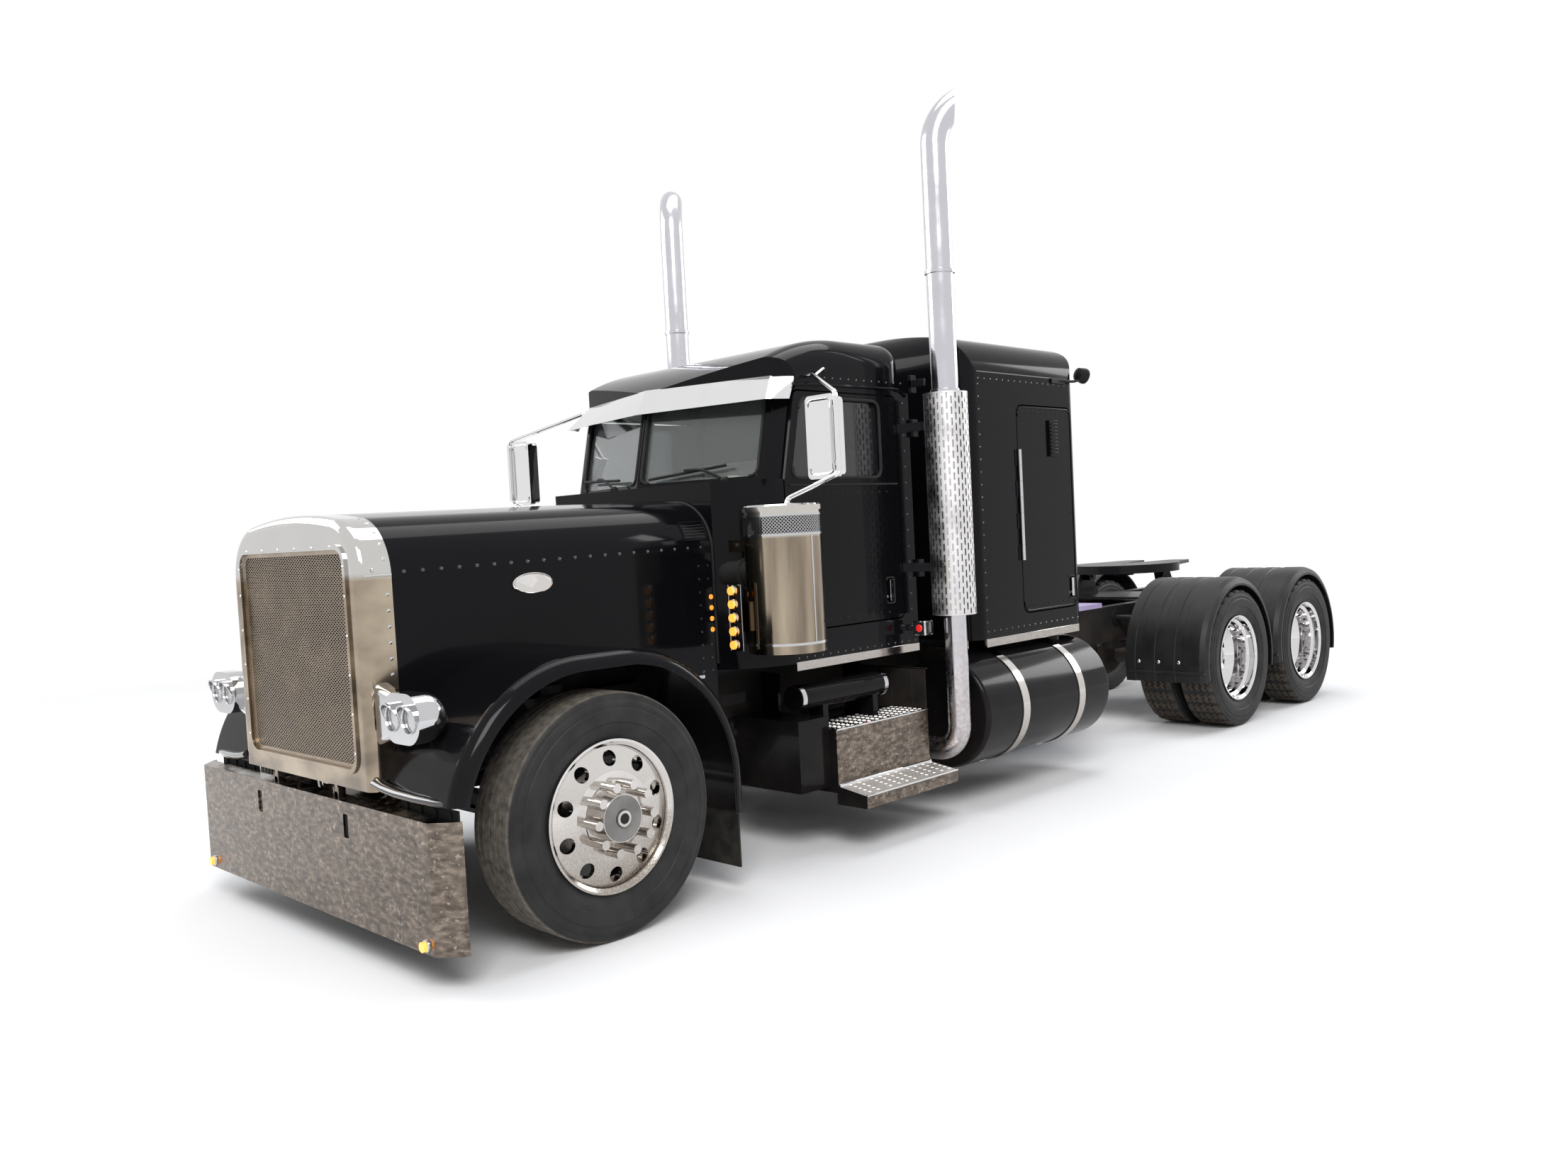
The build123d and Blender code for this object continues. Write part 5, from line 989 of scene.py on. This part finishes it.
# Air cleaners: mesh bands over near-black cylinders that are painted shade inside the inlets, rings, lids and straps
CLEANER_X, CLEANER_D = 1.100, 1.150
BAND_COLUMNS, BAND_ROWS, BAND_STEP, BAND_R = 72, 5, 0.0165, 0.1925
kit = Kit()
for a0 in turns(BAND_COLUMNS):
    for row in range(BAND_ROWS):
        z0 = 1.662 + row * BAND_STEP
        for way in (-1, 1):
            a1 = a0 + way * 2 * pi / BAND_COLUMNS
            z1 = z0 + BAND_STEP
            strand = [at(CLEANER_X + BAND_R * cos(a), CLEANER_D + BAND_R * sin(a), z) for a, z in
                      ((a0, z0 - 0.002), (a1, z1 - 0.002), (a1, z1 + 0.002), (a0, z0 + 0.002))]
            kit.add(strand, [(0, 1, 2, 3) if way > 0 else (3, 2, 1, 0)])
kit.pair("cleaner_bands", CHROME)
kit = Kit()
for z, rise in ((1.652, 0.010), (1.744, 0.010), (1.130, 0.012)):
    band(kit, at(CLEANER_X, CLEANER_D, z), UP, 0.1895, 0.194, rise, 56)
lid = [(0.0, 0.197), (0.008, 0.190), (0.012, 0.150), (0.014, 0.04)]
turned(kit, at(CLEANER_X, CLEANER_D, 1.792), UP, lid, 56)
rod(kit, [at(1.2915, CLEANER_D, 1.142), at(1.2915, CLEANER_D, 1.652)], 0.0035)
kit.pair("cleaner_rings", CHROME)
turned(Kit(), at(CLEANER_X, CLEANER_D, 1.660), UP, [(0.0, 0.1905), (0.084, 0.1905)], 56).pair("cleaner_inlet_shade", DARK)

# Side lamps: small ones on the hood, rims and plates of the cleaners' lamp bars, inlets and marker boxes
kit = Kit()
for z in (1.195, 1.250, 1.305, 1.360):
    turned(kit, at(0.667, 1.052, z), SIDE, [(0.0, 0.013), (0.004, 0.012), (0.008, 0.006)], 16)
kit.pair("cowl_lamps", AMBER, "hood")
kit = Kit()
rim = [(0.0, 0.0265), (0.005, 0.026), (0.008, 0.0215), (0.0, 0.0205)]
for z in (1.140, 1.205, 1.270, 1.335, 1.400):
    turned(kit, at(0.980, 0.9125, z), FRONT, rim, 24, True)
kit.pair("lamp_rings", CHROME)
kit = Kit()
box(kit, 1.004, 1.038, 0.9085, 0.9135, 1.112, 1.428)
box(kit, 0.944, 0.952, 0.9085, 0.9135, 1.112, 1.428)
kit.pair("lamp_plates", CHROME, bevel=0.001)
duct = [(0.0, 0.066), (0.12, 0.066), (0.125, 0.080), (0.15, 0.082), (0.155, 0.070), (0.235, 0.070)]
turned(Kit(), at(0.700, 1.150, 1.470), SIDE, duct, 40).pair("cleaner_inlets", RUBBER)
kit = Kit()
box(kit, 0.945, 1.030, 2.318, 2.398, 1.045, 1.130)
box(kit, 0.876, 0.950, 2.345, 2.372, 1.070, 1.105)
kit.pair("side_marker_boxes", CHROME, bevel=0.008)
lens = [(0.0, 0.021), (0.004, 0.020), (0.008, 0.011), (0.009, 0.003)]
turned(Kit(), at(0.988, 2.3175, 1.088), FRONT, lens, 28).pair("side_marker_lenses", RED)

# Windscreen: wipers and gaskets. Each wiper: pivot, arm's tip, blade's ends
WIPERS = (((0.62, 1.235, 1.952), (0.34, 1.205, 2.020), (0.10, 1.160, 1.985), (0.58, 1.285, 2.030)),
          ((-0.20, 1.150, 1.952), (-0.44, 1.225, 2.020), (-0.68, 1.310, 2.020), (-0.20, 1.190, 2.000)))
kit = Kit()
for ends in WIPERS:
    pivot, tip, start, end = (at(*p) for p in ends)
    rod(kit, [pivot, (pivot + tip) / 2 + Vector((0, -0.02, 0.03)), tip], 0.007, bend=0.05)
    rod(kit, [start, end], 0.008)
    turned(kit, pivot, (0, -0.2, 1), [(-0.03, 0.022), (0.005, 0.022), (0.014, 0.014)], 16)
kit.piece("wipers", RUBBER)
kit = Kit()
for _, sign in HANDS:
    pane = ((0.024, 1.965), (0.745, 1.965), (0.745, 2.385), (0.024, 2.385))
    hoop(kit, [at(sign * x, 1.151 + 0.217 * (z - 1.940) + 0.2557 * x, z) for x, z in pane], 0.05, 0.009)
kit.piece("windscreen_gaskets", RUBBER)

# Steps: polished faces, raised diamonds on the treads, edges in the brighter chrome as painted highlights, and dark
# backs
STEP_FRONT, STEP_REAR = 1.562, 2.333
TREAD_FRONT, TREAD_REAR = 1.58, 2.32
DIAMOND_PITCH = 0.034


def diamonds(kit, x0, x1, z):
    """Small raised bars, turned both ways, over a step's level tread."""
    row = 0
    x = x0 + DIAMOND_PITCH / 2
    while x < x1:
        d = TREAD_FRONT + DIAMOND_PITCH / 2 + (DIAMOND_PITCH / 2 if row % 2 else 0)
        while d < TREAD_REAR:
            way = 1 if (row + int(round((d - TREAD_FRONT) / DIAMOND_PITCH))) % 2 else -1
            a = radians(45) * way
            along = Vector((cos(a), sin(a), 0)) * 0.012
            wide = Vector((-sin(a), cos(a), 0)) * 0.0035
            c = at(x, d, z)
            top = Vector((0, 0, 0.003))
            kit.add([c - along, c - wide, c + along, c + wide, c + top - along * 0.5, c + top + along * 0.5],
                    [(0, 1, 4), (1, 5, 4), (1, 2, 5), (2, 3, 5), (3, 4, 5), (3, 0, 4)])
            d += DIAMOND_PITCH
        x += DIAMOND_PITCH / 2
        row += 1


kit = Kit()
box(kit, 1.000, 1.012, STEP_FRONT, STEP_REAR, 0.342, 0.6285)
box(kit, 0.74, 1.012, STEP_FRONT, STEP_REAR, 0.6272, 0.631)
box(kit, 1.1985, 1.203, STEP_FRONT, STEP_REAR, 0.241, 0.306)
kit.pair("step_faces", CHROME_LOW, bevel=0.002)
section = ((1.0125, 0.3355), (1.2005, 0.3058), (1.2005, 0.3040), (1.0125, 0.3335))
skin(Kit(), [[at(x, d, z) for x, z in section] for d in (STEP_FRONT, STEP_REAR)]).pair("low_step_plates", TREAD)
kit = Kit()
diamonds(kit, 0.75, 1.005, 0.631)
kit.pair("step_treads", TREAD)
kit = Kit()
for k in range(5):
    x = 1.03 + 0.032 * k
    diamonds(kit, x - 0.016, x + 0.016, 0.3352 - 0.158 * (x - 1.0125))
kit.pair("low_step_treads", TREAD)
kit = Kit()
for x, z, thick in ((1.0105, 0.6295, 0.006), (1.2005, 0.3055, 0.005), (1.0135, 0.3375, 0.010)):
    rod(kit, [at(x, STEP_FRONT, z), at(x, STEP_REAR, z)], thick, 10)
kit.pair("step_nosings", CHROME_BRIGHT)
kit = Kit()
box(kit, 0.50, 1.00, 2.336, 2.342, 0.345, 0.86)
box(kit, 0.50, 1.00, 2.336, 2.362, 0.854, 0.86)
for x in (0.60, 0.75, 0.90):
    rod(kit, [at(x, 2.342, 0.40), at(x, 2.342, 0.82)], 0.008)
kit.pair("step_backs", CHASSIS, bevel=0.001)

# Front hubs: a grey casting inside the nuts and a dark sight glass
for side, sign in HANDS:
    face = [(0.0, 0.097), (0.0025, 0.095), (0.0025, 0.038), (0.0, 0.036)]
    turned(Kit(), (sign * 1.2215, AXLE_Y, TYRE_R), (sign, 0, 0), face, 40, True).piece(
        f"hub_face_{side}", HUB_GREY, f"front_wheel_{side}")
    dome = [(0.0, 0.023), (0.0025, 0.022), (0.0035, 0.015), (0.004, 0.0005)]
    turned(Kit(), (sign * 1.2335, AXLE_Y, TYRE_R), (sign, 0, 0), dome, 28).piece(
        f"hub_sight_{side}", RUBBER, f"front_wheel_{side}")

# Tanks: fuel caps, and bands on the ends of the air tanks
kit = Kit()
cap = [(0.0, 0.062), (0.012, 0.064), (0.022, 0.060), (0.026, 0.045), (0.038, 0.042), (0.042, 0.030)]
turned(kit, at(0.910, 3.790, 0.917), UP, cap, 32)
rod(kit, [at(0.875, 3.790, 0.957), at(0.945, 3.790, 0.957)], 0.009)
for d in (1.425, 2.080):
    band(kit, at(0.850, d, 0.800), REAR, 0.0685, 0.0715, 0.030, 40)
kit.pair("tank_caps", CHROME)

# Fifth wheel: a rim under the round of its plate
FIFTH_D = 6.450
RIM_STEPS = 64
RIM = ((0.443, 1.213), (0.443, 1.170), (0.457, 1.170), (0.457, 1.213))
rings = []
for k in range(RIM_STEPS + 1):
    a = radians(19.2 - 218.4 * k / RIM_STEPS)
    rings.append([at(radius * cos(a), FIFTH_D + radius * sin(a), z) for radius, z in RIM])
skin(Kit(), rings).piece("fifth_wheel_skirt", CHASSIS, "fifth_wheel")

# Rear fenders: a bead low on the front edge, and bolts by the ribs in the brighter chrome, a painted highlight
FENDER_R, RIB_R = 0.622, 0.617
fender_beads = Kit()
fender_bolts = Kit()
for station in DRIVES:
    a = radians(185)
    d, z = station + FENDER_R * cos(a), TYRE_R + FENDER_R * sin(a)
    rod(fender_beads, [at(0.590, d, z), at(1.212, d, z)], 0.010, 10)
    for x in (0.69, 0.85, 1.01):
        for angle in (2, 178):
            a = radians(angle)
            normal = Vector((0, cos(a), sin(a)))
            rivet(fender_bolts, at(x, station, TYRE_R) + RIB_R * normal, normal, 0.013, 0.005)
fender_beads.pair("rear_fender_beads", PLASTIC)
fender_bolts.pair("rear_fender_bolts", CHROME_BRIGHT)

# Mirrors: trims and panes
kit = Kit()
border = ((1.203, 1.936), (1.203, 2.290), (1.352, 2.290), (1.352, 1.936))
hoop(kit, [at(x, 1.2615, z) for x, z in border], 0.03, 0.005)
path = ((1.256, 1.95), (1.250, 1.99), (1.250, 2.24), (1.256, 2.28))
rod(kit, [at(1.362, d, z) for d, z in path], 0.007, 10, 0.02)
kit.pair("mirror_trims", CHROME)
box(Kit(), 1.205, 1.355, 1.3355, 1.3375, 1.945, 2.281).pair("mirror_panes", CHROME, bevel=0.0005)

# Camera, floor and light
LENS_MM = 27.67
SENSOR_MM = 36.0
camera = placed("camera", bpy.data.cameras.new("camera"))
camera.data.sensor_fit = "HORIZONTAL"
camera.data.sensor_width = SENSOR_MM
camera.data.lens = LENS_MM
camera.data.clip_end = 200.0
right = Vector((0.71364, 0.69865, -0.05117))
up = Vector((0.00296, 0.07004, 0.99754))
back = Vector((0.70051, -0.71203, 0.04791))
place = at(5.1901, -3.0165, 1.6767)
camera.matrix_world = Matrix((
    (right.x, up.x, back.x, place.x),
    (right.y, up.y, back.y, place.y),
    (right.z, up.z, back.z, place.z),
    (0, 0, 0, 1),
))
bpy.context.scene.camera = camera


def seen(tree):
    """1 for rays from the camera, off a mirror or through glass, else 0."""
    path = tree.nodes.new("ShaderNodeLightPath")
    direct = math_node(tree, "MAXIMUM", path.outputs["Is Camera Ray"], path.outputs["Is Glossy Ray"])
    return math_node(tree, "MAXIMUM", direct, path.outputs["Is Transmission Ray"])


FLOOR_RINGS = (0.0, 6.0, 14.0, 30.0, 90.0)
FLOOR_SIDES = 96
FLOOR_Z = -0.0005
# Distances from the middle between which the floor turns from lit to evenly white
FLOOR_FADE = (6.5, 13.0)
FLOOR_GLOW = (5.5, 13.0)
floor_rings = [[(radius * cos(-a), radius * sin(-a), FLOOR_Z) for a in turns(FLOOR_SIDES)] for radius in FLOOR_RINGS]
floor_kit = skin(Kit(), floor_rings, foot=False, head=False)
floor_mat, floor_tree, floor_shader = new_material("floor_pale")
reach = floor_tree.nodes.new("ShaderNodeVectorMath")
reach.operation = "LENGTH"
feed(reach, 0, coords(floor_tree))
distance = reach.outputs["Value"]
pale = mix(floor_tree, noise(floor_tree, 0.4), (0.88, 0.875, 0.87), (0.91, 0.905, 0.90))
fade = span(floor_tree, distance, 0.0, 1.0, *FLOOR_FADE)
feed(floor_shader, "Base Color", mix(floor_tree, fade, pale, (0.0, 0.0, 0.0)))
put(floor_shader, {"Roughness": 0.95, "Specular IOR Level": 0.0, "Emission Color": (1, 1, 1, 1)})
glow = span(floor_tree, distance, 0.0, 1.0, *FLOOR_GLOW)
feed(floor_shader, "Emission Strength", math_node(floor_tree, "MULTIPLY", glow, seen(floor_tree)))
floor = mesh_object("floor", floor_kit.verts, floor_kit.faces, floor_mat)
floor.data.validate()

SKY_TONES = ((0.0, (0.9, 0.89, 0.88)), (0.35, (0.95, 0.95, 0.95)), (0.75, (0.72, 0.76, 0.84)),
             (1.0, (0.6, 0.66, 0.78)))
world = bpy.data.worlds.new("studio")
scene.world = world
world.use_nodes = True
wt = world.node_tree
background = [n for n in wt.nodes if n.type == "BACKGROUND"][0]
sky = wt.nodes.new("ShaderNodeTexCoord")
split = wt.nodes.new("ShaderNodeSeparateXYZ")
feed(split, 0, sky.outputs["Generated"])
feed(background, "Color", ramp(wt, span(wt, split.outputs["Z"], 0.0, 1.0, -0.2, 1.0), SKY_TONES))
feed(background, "Strength", 0.5)
white = wt.nodes.new("ShaderNodeBackground")
put(white, {"Color": (1, 1, 1, 1), "Strength": 1.0})
blend = wt.nodes.new("ShaderNodeMixShader")
feed(blend, 0, seen(wt))
feed(blend, 1, background.outputs[0])
feed(blend, 2, white.outputs[0])
wt.links.new(blend.outputs[0], [n for n in wt.nodes if n.type == "OUTPUT_WORLD"][0].inputs["Surface"])


def area(name, place, aim, size, power):
    """A soft box that points at a place."""
    data = bpy.data.lights.new(name, "AREA")
    data.shape = "RECTANGLE"
    data.size, data.size_y = size
    data.energy = power
    obj = placed(name, data)
    obj.location = place
    obj.rotation_euler = (Vector(aim) - Vector(place)).to_track_quat("-Z", "Y").to_euler()


area("key", (9.0, -9.0, 10.0), (0, -1, 1), (6.0, 6.0), 1300)
area("fill", (-9.0, -7.0, 7.0), (0, 0, 1), (8.0, 5.0), 600)
area("top", (0.0, 0.5, 12.0), (0, 0, 0), (6.0, 12.0), 700)
area("tail", (4.0, 12.0, 6.0), (0, 2, 1), (6.0, 4.0), 500)

bpy.context.scene.view_settings.view_transform = "Standard"
